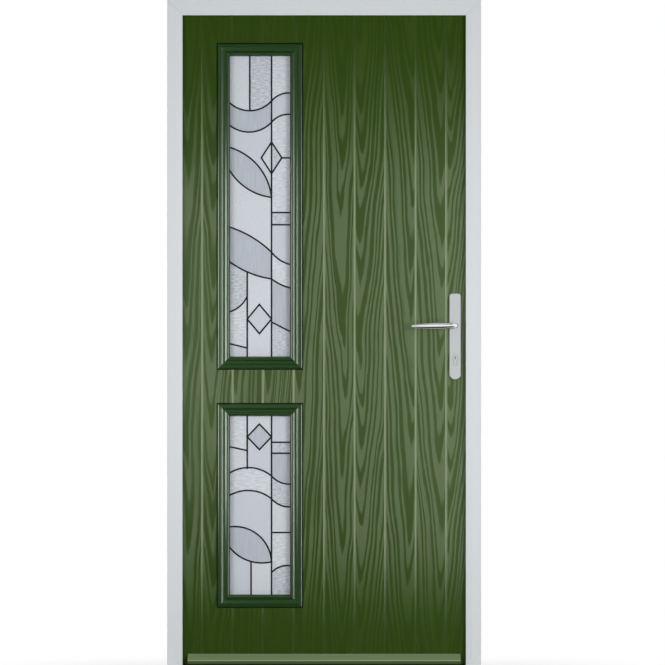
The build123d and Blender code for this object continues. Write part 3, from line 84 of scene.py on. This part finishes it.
# The lamps that only glint: the pieces they light, by the end of their names, then
# each lamp's name, place, aim, width, height and power
SHEEN_LAMPS = (
    ("outer_skin", "right_sheen", (0.76, -0.5, 0.98), (0.25, 0.0, 0.98), 0.4, 1.4, 58),
    ("outer_skin", "left_sheen", (-0.76, -0.46, 1.04), (-0.3, 0.0, 1.04), 0.4, 1.1, 44),
    ("inner_skin", "rear_sheen", (0.76, 0.5, 0.98), (0.25, 0.0, 0.98), 0.4, 1.4, 50),
    ("_outer_cassette", "right_glint", (0.90, -0.35, 0.93), (0.3, 0.0, 0.93), 0.2, 1.58, 96),
    ("_outer_cassette", "left_glint", (-0.76, -0.27, 1.04), (-0.4, 0.0, 1.04), 0.2, 1.1, 42),
    ("_inner_cassette", "rear_glint", (0.90, 0.35, 0.93), (0.3, 0.0, 0.93), 0.2, 1.58, 70),
)

# The black cards over and under each side: half-width, far edge, then near edges and heights
FLAG_HALF = 2.0
FLAG_FAR = 2.6
UPPER_FLAG_NEAR = 0.9
UPPER_FLAG_HEIGHT = 3.4
LOWER_FLAG_NEAR = 0.3
LOWER_FLAG_HEIGHT = 0.01

# The floor: its half-width, where it starts to turn white and is white, and its glow at the start
FLOOR_HALF = 9.0
FLOOR_NEAR = 0.05
FLOOR_FAR = 0.75
FLOOR_GLOW = 0.75

# The leaf's planks, and the heights between which the painted highlight on their grooves and the
# painted sheen on their grain turn pale and dark again
GROOVE_COUNT = 9
EDGE_PLANK_SHARE = 0.754
GROOVE_HALF = 0.0034
GROOVE_BLUR = 0.2
PAINTED_LIGHT_FOOT = (0.12, 0.45)
PAINTED_LIGHT_TOP = (1.45, 2.0)

# The grain's figure: nested arches round a pith, which strays from plank to plank
PITH_SPREAD = 0.085
WANDER = 0.07
WANDER_SCALE = 1.6
WANDER_STEP = 3.7
RING_PITCH = 0.0125
RING_PITCH_SHARES = (0.7, 1.25)
RING_TIP_ROUND = 0.012
RING_SLOPE = 0.075
RING_SLOPE_SHARES = (0.7, 1.3)
RIPPLE = 0.016
RIPPLE_SCALE = 3.6
RIPPLE_STRETCH = 7
UNEVEN = 2.4
UNEVEN_SCALE = 0.55

# Each ring's pale band, the patches where bands are faint, and the fine pores across them
BAND_RISE = (0.0, 0.2)
BAND_FALL = (0.36, 0.75)
PATCH_SCALE = 2.6
PATCH_STRETCH = 2.4
PATCH_RANGE = (0.30, 0.60)
PATCH_FAINT = 0.4
# The bands grow stronger towards the right: partly the grain's figure, partly painted sheen that is
# stronger on the right
FIGURE_AND_SHEEN_DRIFT = 0.3
PORES_ACROSS = 520
PORES_ALONG = 12
PORE_RANGE = (0.25, 0.65)
PORE_FAINT = 0.45
# The share of a band at which the painted sheen on it is full
PAINTED_SHEEN_FULL = 0.5
GRAIN_RELIEF = 0.0003

# The fleck of the cassettes, the grain of painted timber, and the cloudiness of plain surfaces
FLECK_SCALE = 400.0
FLECK_RANGE = (0.2, 0.8)
FLECK_SPREAD = 0.2
TIMBER_SCALE = 300
CLOUD_SCALE = 90.0
CLOUD_SPREAD = 0.15

# The welded seam of the frame's corners, from its middle to where it ends
SEAM_RANGE = (0.0004, 0.0016)

# The weather bar: where its slope and the painted light on it start, and the width of the painted
# highlight along its front edge
BAR_SLOPE_SHARE = 0.35
BAR_EDGE = 0.0026

# The leaded glass: its relief's height, and the step from one piece's kind to the next
GLASS_RELIEF = 0.0012
GLASS_STEP = 3

# The depth at which painted shade turns the keyway dark
KEYWAY_SHADE = 0.0004

# How far the panes stand off the glass behind them
PANE_EASE = 0.00015

# The sealing bead round each cassette, near-black as painted shade for the gap there
SEAL_AND_SHADE_WIDTH = 0.0032
SEAL_AND_SHADE_HEIGHT = 0.0012

# Colours, matched to the photograph
DOOR_DARK = (0.0205, 0.0470, 0.0018, 1)
DOOR_LIGHT = (0.0285, 0.0575, 0.0048, 1)
# Painted sheen on the grain's bands at mid-height
DOOR_PAINTED_SHEEN = (0.070, 0.107, 0.043, 1)
SHEEN_GREEN = (0.98, 1.0, 0.93, 1)
GROOVE_GREEN = (0.030, 0.062, 0.010, 1)
# Painted highlight along the grooves at mid-height
GROOVE_HIGHLIGHT = (0.178, 0.224, 0.126, 1)
CASSETTE_GREEN = (0.004, 0.031, 0.0005, 1)
BAR_GREEN = (0.049, 0.086, 0.021, 1)
# Painted light on the weather bar's slope
BAR_SLOPE_PAINTED_LIGHT = (0.190, 0.268, 0.132, 1)
# Painted highlight along the weather bar's front edge
BAR_EDGE_HIGHLIGHT = (0.36, 0.47, 0.27, 1)
EDGE_GREEN = (0.030, 0.058, 0.010, 1)
FRAME_WHITE = (0.755, 0.79, 0.81, 1)
SEAM_GREY = (0.64, 0.67, 0.69, 1)
HINGE_WHITE = (0.74, 0.77, 0.78, 1)
FOAM_YELLOW = (0.80, 0.72, 0.50, 1)
ZINC = (0.58, 0.60, 0.62, 1)
BRIGHT_STEEL = (0.62, 0.62, 0.61, 1)
ALUMINIUM = (0.66, 0.67, 0.68, 1)
CHROME = (0.80, 0.82, 0.83, 1)
SATIN_CHROME = (0.55, 0.57, 0.58, 1)
# Black rubber, also used as the painted shade down the keyway
RUBBER_AND_KEYWAY_SHADE = (0.012, 0.012, 0.012, 1)
# Near-black sealing compound, dark as painted shade for the gap round each cassette
SEALANT_AND_SHADE = (0.004, 0.005, 0.004, 1)
LEAD = (0.006, 0.008, 0.009, 1)
PANE_TINT = (0.05, 0.07, 0.07, 1)
GLASS_DARK = (0.50, 0.54, 0.61, 1)
GLASS_MID = (0.62, 0.67, 0.75, 1)
GLASS_LIGHT = (0.80, 0.84, 0.91, 1)
GLASS_PALE = (0.93, 0.95, 0.98, 1)
FLOOR_PALE = (0.86, 0.86, 0.86, 1)
WHITE = (1, 1, 1, 1)


class Shader:
    """A material and its node tree, with short calls for adding and joining nodes."""

    def __init__(self, name, **sockets):
        self.material = bpy.data.materials.new(name)
        self.material.use_nodes = True
        self.tree = self.material.node_tree
        self.surface = self.tree.nodes["Principled BSDF"]
        for socket, value in sockets.items():
            self.feed(self.surface.inputs[socket.replace("_", " ")], value)

    def feed(self, socket, value):
        """Links a socket to another, or sets its value."""
        if isinstance(value, bpy.types.NodeSocket):
            self.tree.links.new(value, socket)
        else:
            socket.default_value = value

    def node(self, kind, inputs=None, **settings):
        """Adds a node with its settings and inputs."""
        made = self.tree.nodes.new("ShaderNode" + kind)
        for name, value in settings.items():
            setattr(made, name, value)
        for socket, value in (inputs or {}).items():
            self.feed(made.inputs[socket], value)
        return made

    def math(self, operation, *values):
        """One sum, with numbers or sockets."""
        made = self.node("Math", dict(enumerate(values)), operation=operation)
        return made.outputs["Value"]

    def place(self):
        """The piece's own coordinates, as X, Y and Z."""
        coordinates = self.node("TexCoord").outputs["Object"]
        return self.node("SeparateXYZ", {"Vector": coordinates}).outputs

    def spot(self, x, y, z):
        """A vector from three numbers or sockets."""
        return self.node("CombineXYZ", {"X": x, "Y": y, "Z": z}).outputs["Vector"]

    def noise(self, vector, scale, detail=2.0):
        """Soft noise from 0 to 1."""
        made = self.node("TexNoise", {"Vector": vector, "Scale": scale, "Detail": detail})
        return made.outputs["Fac"]

    def ramp(self, value, low, high, low_result=0.0, high_result=1.0):
        """Carries a value smoothly from one range to another."""
        made = self.node(
            "MapRange",
            {
                "Value": value,
                "From Min": low,
                "From Max": high,
                "To Min": low_result,
                "To Max": high_result,
            },
            interpolation_type="SMOOTHSTEP",
        )
        return made.outputs["Result"]

    def between(self, value, shares, whole):
        """Carries a value from 0 to 1 smoothly to a range given as shares of a whole."""
        return self.ramp(value, 0, 1, shares[0] * whole, shares[1] * whole)

    def blend(self, share, first, second):
        """A colour between two others."""
        made = self.node("Mix", {"Factor": share}, data_type="RGBA")
        self.feed(made.inputs[6], first)
        self.feed(made.inputs[7], second)
        return made.outputs[2]

    def bump(self, height, distance, strength=1.0):
        """Roughens the surface's normal by a height."""
        made = self.node("Bump", {"Height": height, "Distance": distance, "Strength": strength})
        self.feed(self.surface.inputs["Normal"], made.outputs["Normal"])


# Materials
def plank_grain(shader):
    """The moulded grain of the leaf's planks: its pale bands, its fine pores and the grooves."""
    low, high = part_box("outer_skin")
    pitch = (high.x - low.x) / (GROOVE_COUNT - 1 + 2 * EDGE_PLANK_SHARE)
    x, _, z = shader.place()
    plank = shader.math("FLOOR", shader.math("DIVIDE", x, pitch))
    middle = shader.math("MULTIPLY", shader.math("ADD", plank, 0.5), pitch)
    offset = shader.math("SUBTRACT", x, middle)
    chance = shader.node("TexWhiteNoise", {"W": plank}, noise_dimensions="1D").outputs["Color"]
    first, second, third = shader.node("SeparateColor", {"Color": chance}).outputs
    ring = arches(shader, plank, offset, first, second)
    ring = shader.math("DIVIDE", ring, shader.between(third, RING_PITCH_SHARES, RING_PITCH))
    uneven_at = shader.spot(shader.math("MULTIPLY", ring, UNEVEN_SCALE), plank, 0)
    uneven = shader.math("MULTIPLY", shader.noise(uneven_at, 1.0, 1.0), UNEVEN)
    turn = shader.math("FRACT", shader.math("ADD", ring, uneven))
    rise, fall = shader.ramp(turn, *BAND_RISE), shader.ramp(turn, *BAND_FALL, 1.0, 0.0)
    patch_at = shader.spot(shader.math("MULTIPLY", x, PATCH_STRETCH), 0, z)
    # Bands grow stronger towards the right, partly as painted sheen
    figure_and_sheen_drift = shader.math("MULTIPLY", x, FIGURE_AND_SHEEN_DRIFT)
    patch = shader.math("ADD", shader.noise(patch_at, PATCH_SCALE), figure_and_sheen_drift)
    band = shader.math("MULTIPLY", rise, fall)
    band = shader.math("MULTIPLY", band, shader.ramp(patch, *PATCH_RANGE, PATCH_FAINT, 1.0))
    across = shader.math("MULTIPLY", x, PORES_ACROSS)
    along = shader.math("MULTIPLY", z, PORES_ALONG)
    pores = shader.noise(shader.spot(across, 0, along), 1.0, 3.0)
    edge = shader.math("SUBTRACT", pitch / 2, shader.math("ABSOLUTE", offset))
    face = shader.ramp(edge, GROOVE_HALF * (1 - GROOVE_BLUR), GROOVE_HALF * (1 + GROOVE_BLUR))
    return band, pores, face


def arches(shader, plank, offset, pith_chance, slope_chance):
    """How far a spot lies from its plank's pith, along the arches that the rings make."""
    x, _, z = shader.place()
    pith = shader.math("MULTIPLY", shader.math("SUBTRACT", pith_chance, 0.5), PITH_SPREAD)
    stray_at = shader.spot(shader.math("MULTIPLY", plank, WANDER_STEP), 0, z)
    stray = shader.math("SUBTRACT", shader.noise(stray_at, WANDER_SCALE), 0.5)
    across = shader.math("SUBTRACT", offset, pith)
    across = shader.math("ADD", across, shader.math("MULTIPLY", stray, WANDER))
    square = shader.math("ADD", shader.math("POWER", across, 2), RING_TIP_ROUND**2)
    slope = shader.between(slope_chance, RING_SLOPE_SHARES, 1.0)
    rising = shader.math("MULTIPLY", shader.math("MULTIPLY", slope, -RING_SLOPE), z)
    ripple_at = shader.spot(shader.math("MULTIPLY", x, RIPPLE_STRETCH), plank, z)
    ripple = shader.math("MULTIPLY", shader.noise(ripple_at, RIPPLE_SCALE, 3.0), RIPPLE)
    ring = shader.math("ADD", shader.math("SQRT", square), rising)
    return shader.math("ADD", ring, ripple)


def door_green():
    """The moulded skin: grain and grooves, with a painted sheen on the grain and a painted
    highlight along the grooves, both fading towards the top and foot.
    """
    shader = Shader(
        "door_green",
        Roughness=0.56,
        Specular_IOR_Level=0.055,
        Specular_Tint=SHEEN_GREEN,
        Anisotropic=0.7,
    )
    band, pores, face = plank_grain(shader)
    share = shader.math("MULTIPLY", band, shader.ramp(pores, *PORE_RANGE, PORE_FAINT, 1.0))
    share = shader.math("MULTIPLY", share, face)
    height = shader.place()["Z"]
    # Painted light: how far the grooves and grain turn pale, full at mid-height and gone at the top
    # and foot
    foot, top = shader.ramp(height, *PAINTED_LIGHT_FOOT), shader.ramp(height, *PAINTED_LIGHT_TOP, 1.0, 0.0)
    pale = shader.math("MULTIPLY", foot, top)
    groove = shader.blend(pale, GROOVE_GREEN, GROOVE_HIGHLIGHT)
    # Painted sheen: the grain's bands turn paler at mid-height
    painted_sheen = shader.math("MULTIPLY", pale, shader.ramp(share, 0.0, PAINTED_SHEEN_FULL))
    grain = shader.blend(painted_sheen, shader.blend(share, DOOR_DARK, DOOR_LIGHT), DOOR_PAINTED_SHEEN)
    shader.feed(shader.surface.inputs["Base Color"], shader.blend(face, groove, grain))
    along = shader.node("VectorTransform", {"Vector": (1, 0, 0)}, vector_type="VECTOR")
    along.convert_from, along.convert_to = "OBJECT", "WORLD"
    shader.feed(shader.surface.inputs["Tangent"], along.outputs["Vector"])
    shader.bump(shader.math("MULTIPLY", share, -1.0), GRAIN_RELIEF)
    return shader.material


def trim_green(name, color, roughness):
    """Smoother moulded green, with a faint fleck."""
    shader = Shader(name, Base_Color=color, Specular_IOR_Level=0.22, Specular_Tint=SHEEN_GREEN)
    x, y, z = shader.place()
    fleck = shader.noise(shader.spot(x, y, z), FLECK_SCALE)
    smoother, rougher = roughness * (1 - FLECK_SPREAD), roughness * (1 + FLECK_SPREAD)
    uneven = shader.ramp(fleck, *FLECK_RANGE, smoother, rougher)
    shader.feed(shader.surface.inputs["Roughness"], uneven)
    return shader.material


def keyed_chrome():
    """The key plug, bright at its face, with painted shade darkening it down its keyway."""
    shader = Shader("keyed_chrome", Metallic=1.0, Roughness=0.2)
    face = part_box("key_plug")[0].y
    painted_keyway_shade = shader.ramp(shader.place()["Y"], face + KEYWAY_SHADE, face + 2 * KEYWAY_SHADE)
    shader.feed(shader.surface.inputs["Base Color"], shader.blend(painted_keyway_shade, SATIN_CHROME, RUBBER_AND_KEYWAY_SHADE))
    return shader.material


def weather_bar_green():
    """The weather bar, with painted light on its slope and a painted highlight along its front
    edge.
    """
    shader = Shader("bar_green", Roughness=0.42, Specular_IOR_Level=0.24)
    low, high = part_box("weather_bar")
    slope = low.z + (high.z - low.z) * BAR_SLOPE_SHARE
    height = shader.place()["Z"]
    # Painted highlight along the front edge, then painted light up the slope
    front = shader.blend(shader.ramp(height, slope - BAR_EDGE, slope), BAR_GREEN, BAR_EDGE_HIGHLIGHT)
    color = shader.blend(shader.ramp(height, slope, slope + BAR_EDGE), front, BAR_SLOPE_PAINTED_LIGHT)
    shader.feed(shader.surface.inputs["Base Color"], color)
    return shader.material


def edge_green():
    """Painted timber."""
    shader = Shader("edge_green", Base_Color=EDGE_GREEN, Roughness=0.45)
    x, y, z = shader.place()
    across, through = (shader.math("MULTIPLY", value, TIMBER_SCALE) for value in (x, y))
    shader.bump(shader.noise(shader.spot(across, through, z), 1.0), GRAIN_RELIEF)
    return shader.material


def frame_white():
    """Smooth white extrusion with a welded seam across each top corner."""
    shader = Shader("frame_white", Roughness=0.32)
    low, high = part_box("frame_head")
    x, _, z = shader.place()
    from_side = shader.math("SUBTRACT", high.x, shader.math("ABSOLUTE", x))
    from_top = shader.math("SUBTRACT", high.z, z)
    off_mitre = shader.math("ABSOLUTE", shader.math("SUBTRACT", from_side, from_top))
    color = shader.blend(shader.ramp(off_mitre, *SEAM_RANGE), SEAM_GREY, FRAME_WHITE)
    shader.feed(shader.surface.inputs["Base Color"], color)
    return shader.material


def plain(name, color, roughness, metallic=0.0, specular=0.5):
    """A surface of one colour with a trace of unevenness."""
    shader = Shader(name, Base_Color=color, Metallic=metallic, Specular_IOR_Level=specular)
    x, y, z = shader.place()
    cloud = shader.noise(shader.spot(x, y, z), CLOUD_SCALE)
    uneven = shader.between(cloud, (1 - CLOUD_SPREAD, 1 + CLOUD_SPREAD), roughness)
    shader.feed(shader.surface.inputs["Roughness"], uneven)
    return shader.material


def clear_glass():
    """Float glass."""
    shader = Shader("clear_glass", Base_Color=PANE_TINT, Roughness=0.02, Alpha=0.03)
    return shader.material


def textured_glass(name, across, up, depth, dark, light):
    """Obscure glass with a relief of so many grains to the metre across and up."""
    shader = Shader(name, Roughness=0.25)
    x, _, z = shader.place()
    grains = shader.spot(shader.math("MULTIPLY", x, across), 0, shader.math("MULTIPLY", z, up))
    relief = shader.noise(grains, 1.0, 1.0)
    tone = shader.ramp(relief, 0.5 - depth, 0.5 + depth)
    shader.feed(shader.surface.inputs["Base Color"], shader.blend(tone, dark, light))
    shader.bump(relief, GLASS_RELIEF)
    return shader.material


def backdrop_floor():
    """A pale floor that keeps the door's shadow and turns white to the eye farther away."""
    shader = Shader("floor", Base_Color=FLOOR_PALE, Roughness=0.9)
    light = shader.node("LightPath").outputs
    seen = shader.math("MAXIMUM", light["Is Camera Ray"], light["Is Transmission Ray"])
    seen = shader.math("MAXIMUM", seen, light["Is Glossy Ray"])
    x, y, _ = shader.place()
    beside = shader.math("SUBTRACT", shader.math("ABSOLUTE", x), cad_box[1].x)
    beside = shader.math("POWER", shader.math("MAXIMUM", beside, 0.0), 2)
    away = shader.math("SQRT", shader.math("ADD", beside, shader.math("POWER", y, 2)))
    whiteness = shader.ramp(away, FLOOR_NEAR, FLOOR_FAR, FLOOR_GLOW, 1.0)
    share = shader.math("MULTIPLY", seen, whiteness)
    pale = shader.surface.outputs["BSDF"]
    glow = shader.node("Emission", {"Color": WHITE, "Strength": 1.0}).outputs["Emission"]
    mix = shader.node("MixShader", {0: share, 1: pale, 2: glow})
    shader.feed(shader.tree.nodes["Material Output"].inputs["Surface"], mix.outputs["Shader"])
    return shader.material


materials = {
    "door_green": door_green(),
    "edge_green": edge_green(),
    "foam": plain("foam", FOAM_YELLOW, 0.85),
    "frame_white": frame_white(),
    "galvanised_steel": plain("galvanised_steel", ZINC, 0.45, 1.0),
    "aluminium": plain("aluminium", ALUMINIUM, 0.38, 1.0),
    "rubber": plain("rubber", RUBBER_AND_KEYWAY_SHADE, 0.7),
    "steel": plain("steel", BRIGHT_STEEL, 0.3, 1.0),
    "hinge_white": plain("hinge_white", HINGE_WHITE, 0.35),
    "pin_steel": plain("pin_steel", BRIGHT_STEEL, 0.25, 1.0),
    "chrome": plain("chrome", CHROME, 0.12, 1.0),
    "clear_glass": clear_glass(),
    "lead": plain("lead", LEAD, 0.5, specular=0.2),
}
cassette_green = trim_green("cassette_green", CASSETTE_GREEN, 0.36)
satin_chrome = plain("satin_chrome", SATIN_CHROME, 0.22, 1.0)
sealant_and_shade = plain("sealant_and_shade", SEALANT_AND_SHADE, 0.6, specular=0.1)

# Nodes whose finish isn't their slot's
finishes = {
    "weather_bar": weather_bar_green(),
    "outer_backplate": satin_chrome,
    "inner_backplate": satin_chrome,
    "cylinder_body": satin_chrome,
    "key_plug": keyed_chrome(),
}
for name in nodes:
    if name.endswith("_cassette"):
        finishes[name] = cassette_green
for part in frame["record"]["subparts"]:
    if part["material_slot"] != "textured_glass":
        mesh = nodes[part["node"]].data
        mesh.materials.clear()
        mesh.materials.append(finishes.get(part["node"], materials[part["material_slot"]]))


# Leaded glass, each piece of one of several kinds
def glass_pieces(mesh):
    """The faces of each separate piece of glass in a mesh, from the lowest piece up."""
    owner = {}

    def root(corner):
        while owner[corner] != corner:
            corner = owner[corner]
        return corner

    corners = [tuple(round(value, 6) for value in vertex.co) for vertex in mesh.vertices]
    for corner in corners:
        owner[corner] = corner
    for face in mesh.polygons:
        first = root(corners[face.vertices[0]])
        for vertex in face.vertices[1:]:
            owner[root(corners[vertex])] = first
    pieces = {}
    for face in mesh.polygons:
        pieces.setdefault(root(corners[face.vertices[0]]), []).append(face)
    return sorted(pieces.values(), key=lambda faces: min(face.center.z for face in faces))


glass_kinds = [
    textured_glass("pebbled_glass", 330.0, 330.0, 0.45, GLASS_MID, GLASS_LIGHT),
    textured_glass("rippled_glass", 75.0, 250.0, 0.30, GLASS_DARK, GLASS_LIGHT),
    textured_glass("reeded_glass", 300.0, 14.0, 0.40, GLASS_DARK, GLASS_MID),
    textured_glass("pale_pebbled_glass", 260.0, 260.0, 0.60, GLASS_MID, GLASS_PALE),
    textured_glass("pale_rippled_glass", 60.0, 200.0, 0.45, GLASS_MID, GLASS_PALE),
]
for name in nodes:
    if name.endswith("_leaded_glass"):
        mesh = nodes[name].data
        mesh.materials.clear()
        for kind in glass_kinds:
            mesh.materials.append(kind)
        for number, faces in enumerate(glass_pieces(mesh)):
            for face in faces:
                face.material_index = (number * GLASS_STEP) % len(glass_kinds)

# Panes stand a hair off the leaded glass they touch
for name in nodes:
    if name.endswith("_pane"):
        ease = nodes[name].modifiers.new("ease", "DISPLACE")
        ease.mid_level = 0.0
        ease.strength = -PANE_EASE


# Thin near-black sealing beads in the corner between each cassette and the leaf's face, dark as
# painted shade for the gap there
def seal_and_shade_line(cassette):
    """A low near-black sealing bead round a cassette's outer edge, on the face it stands on, dark
    as painted shade for the gap there.
    """
    low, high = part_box(cassette)
    skin = "outer_skin" if "outer" in cassette else "inner_skin"
    outward = -1 if "outer" in cassette else 1
    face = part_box(skin)[0 if "outer" in cassette else 1].y
    corners = [(low.x, low.z), (high.x, low.z), (high.x, high.z), (low.x, high.z)]
    signs = [(-1, -1), (1, -1), (1, 1), (-1, 1)]
    wide, tall = SEAL_AND_SHADE_WIDTH, SEAL_AND_SHADE_HEIGHT
    rows = ((0, 0), (wide, 0), (wide / 2, tall), (0, tall))
    points, faces = [], []
    for spread, rise in rows:
        for (x, z), (across, up) in zip(corners, signs):
            points.append((x + across * spread, face + outward * rise, z + up * spread))
    for row in range(len(rows)):
        for side in range(4):
            after, above = (side + 1) % 4, (row + 1) % len(rows)
            faces.append((row * 4 + side, row * 4 + after, above * 4 + after, above * 4 + side))
    mesh = bpy.data.meshes.new(cassette + "_seal_and_shade_line")
    mesh.from_pydata(points, [], faces)
    mesh.materials.append(sealant_and_shade)
    made = bpy.data.objects.new(cassette + "_seal_and_shade_line", mesh)
    bpy.context.collection.objects.link(made)
    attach(made, "leaf")


for name in nodes:
    if name.endswith("_cassette"):
        seal_and_shade_line(name)


# Stage
def floor():
    """The floor under and round the door."""
    mesh = bpy.data.meshes.new("floor")
    signs = ((-1, -1), (1, -1), (1, 1), (-1, 1))
    corners = [(x * FLOOR_HALF, y * FLOOR_HALF, 0) for x, y in signs]
    mesh.from_pydata(corners, [], [(0, 1, 2, 3)])
    mesh.materials.append(backdrop_floor())
    made = bpy.data.objects.new("floor", mesh)
    made.location.z = cad_box[0].z
    bpy.context.collection.objects.link(made)


def softbox(name, place, aim, width, height, power):
    """A soft rectangular lamp that the camera doesn't see."""
    lamp = bpy.data.lights.new(name, "AREA")
    lamp.shape = "RECTANGLE"
    lamp.size, lamp.size_y = width, height
    lamp.energy = power
    made = bpy.data.objects.new(name, lamp)
    made.location = place
    made.rotation_euler = (Vector(aim) - Vector(place)).to_track_quat("-Z", "Y").to_euler()
    made.visible_camera = False
    bpy.context.collection.objects.link(made)
    return made


def flood_lamp(*settings):
    """A wide lamp that lights surfaces without a glint, and less towards its beam's edge."""
    made = softbox(*settings)
    made.visible_glossy = False
    made.data.spread = FLOOD_SPREAD


def sheen_lamp(ending, *settings):
    """A lamp that only glints, on the pieces whose names end so."""
    made = softbox(*settings)
    made.visible_diffuse = False
    made.data.use_shadow = False
    receivers = bpy.data.collections.new(made.name + "_pieces")
    for piece in nodes:
        if piece.endswith(ending):
            receivers.objects.link(nodes[piece])
    made.light_linking.receiver_collection = receivers


def flag(name, near, far, height):
    """A black card over or under one side, which shows only as the dark edges of polished metal."""
    edges = ((-FLAG_HALF, near), (FLAG_HALF, near), (FLAG_HALF, far), (-FLAG_HALF, far))
    corners = [(x, y, height) for x, y in edges]
    mesh = bpy.data.meshes.new(name)
    mesh.from_pydata(corners, [], [(0, 1, 2, 3)])
    mesh.materials.append(materials["rubber"])
    made = bpy.data.objects.new(name, mesh)
    bpy.context.collection.objects.link(made)
    made.visible_camera = made.visible_diffuse = False
    made.visible_shadow = made.visible_transmission = False


def studio():
    """Surroundings that are white to the eye, to metal and through glass, and light softly."""
    world = bpy.data.worlds.new("studio")
    world.use_nodes = True
    tree = world.node_tree
    surroundings = tree.nodes["Background"]
    surroundings.inputs["Color"].default_value = WHITE
    light = tree.nodes.new("ShaderNodeLightPath").outputs
    strength = AMBIENT
    for ray in ("Is Camera Ray", "Is Glossy Ray", "Is Transmission Ray"):
        larger = tree.nodes.new("ShaderNodeMath")
        larger.operation = "MAXIMUM"
        tree.links.new(light[ray], larger.inputs[0])
        if isinstance(strength, float):
            larger.inputs[1].default_value = strength
        else:
            tree.links.new(strength, larger.inputs[1])
        strength = larger.outputs[0]
    tree.links.new(strength, surroundings.inputs["Strength"])
    bpy.context.scene.world = world


def camera():
    """A long lens straight in front of the door, framed as the photograph is."""
    lens = bpy.data.cameras.new("camera")
    lens.sensor_width = SENSOR_WIDTH
    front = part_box("outer_skin")[0].y
    lens.lens = SENSOR_WIDTH * CAMERA_DISTANCE / (PHOTO_SIZE * METRES_PER_PIXEL)
    made = bpy.data.objects.new("camera", lens)
    made.location = (VIEW_CENTRE_X, front - CAMERA_DISTANCE, VIEW_CENTRE_Z)
    made.rotation_euler = Vector((0, 1, 0)).to_track_quat("-Z", "Y").to_euler()
    bpy.context.collection.objects.link(made)
    bpy.context.scene.camera = made


floor()
studio()
camera()
for turn, name in ((-1, "front"), (1, "rear")):
    right = (FLOOD_SIDE, turn * FLOOD_AWAY, FLOOD_HEIGHT)
    left = (-FLOOD_SIDE, turn * FLOOD_AWAY, FLOOD_HEIGHT)
    aim_and_size = (FLOOD_AIM, FLOOD_SIZE, FLOOD_SIZE)
    flood_lamp(name + "_right_light", right, *aim_and_size, FLOOD_RIGHT_POWER)
    flood_lamp(name + "_left_light", left, *aim_and_size, FLOOD_LEFT_POWER)
    flag(name + "_upper_flag", turn * UPPER_FLAG_NEAR, turn * FLAG_FAR, UPPER_FLAG_HEIGHT)
    flag(name + "_lower_flag", turn * LOWER_FLAG_NEAR, turn * FLAG_FAR, LOWER_FLAG_HEIGHT)
flood_lamp("top_light", TOP_PLACE, TOP_AIM, TOP_SIZE, TOP_SIZE, TOP_POWER)
for settings in SHEEN_LAMPS:
    sheen_lamp(*settings)
bpy.context.scene.view_settings.view_transform = "Standard"
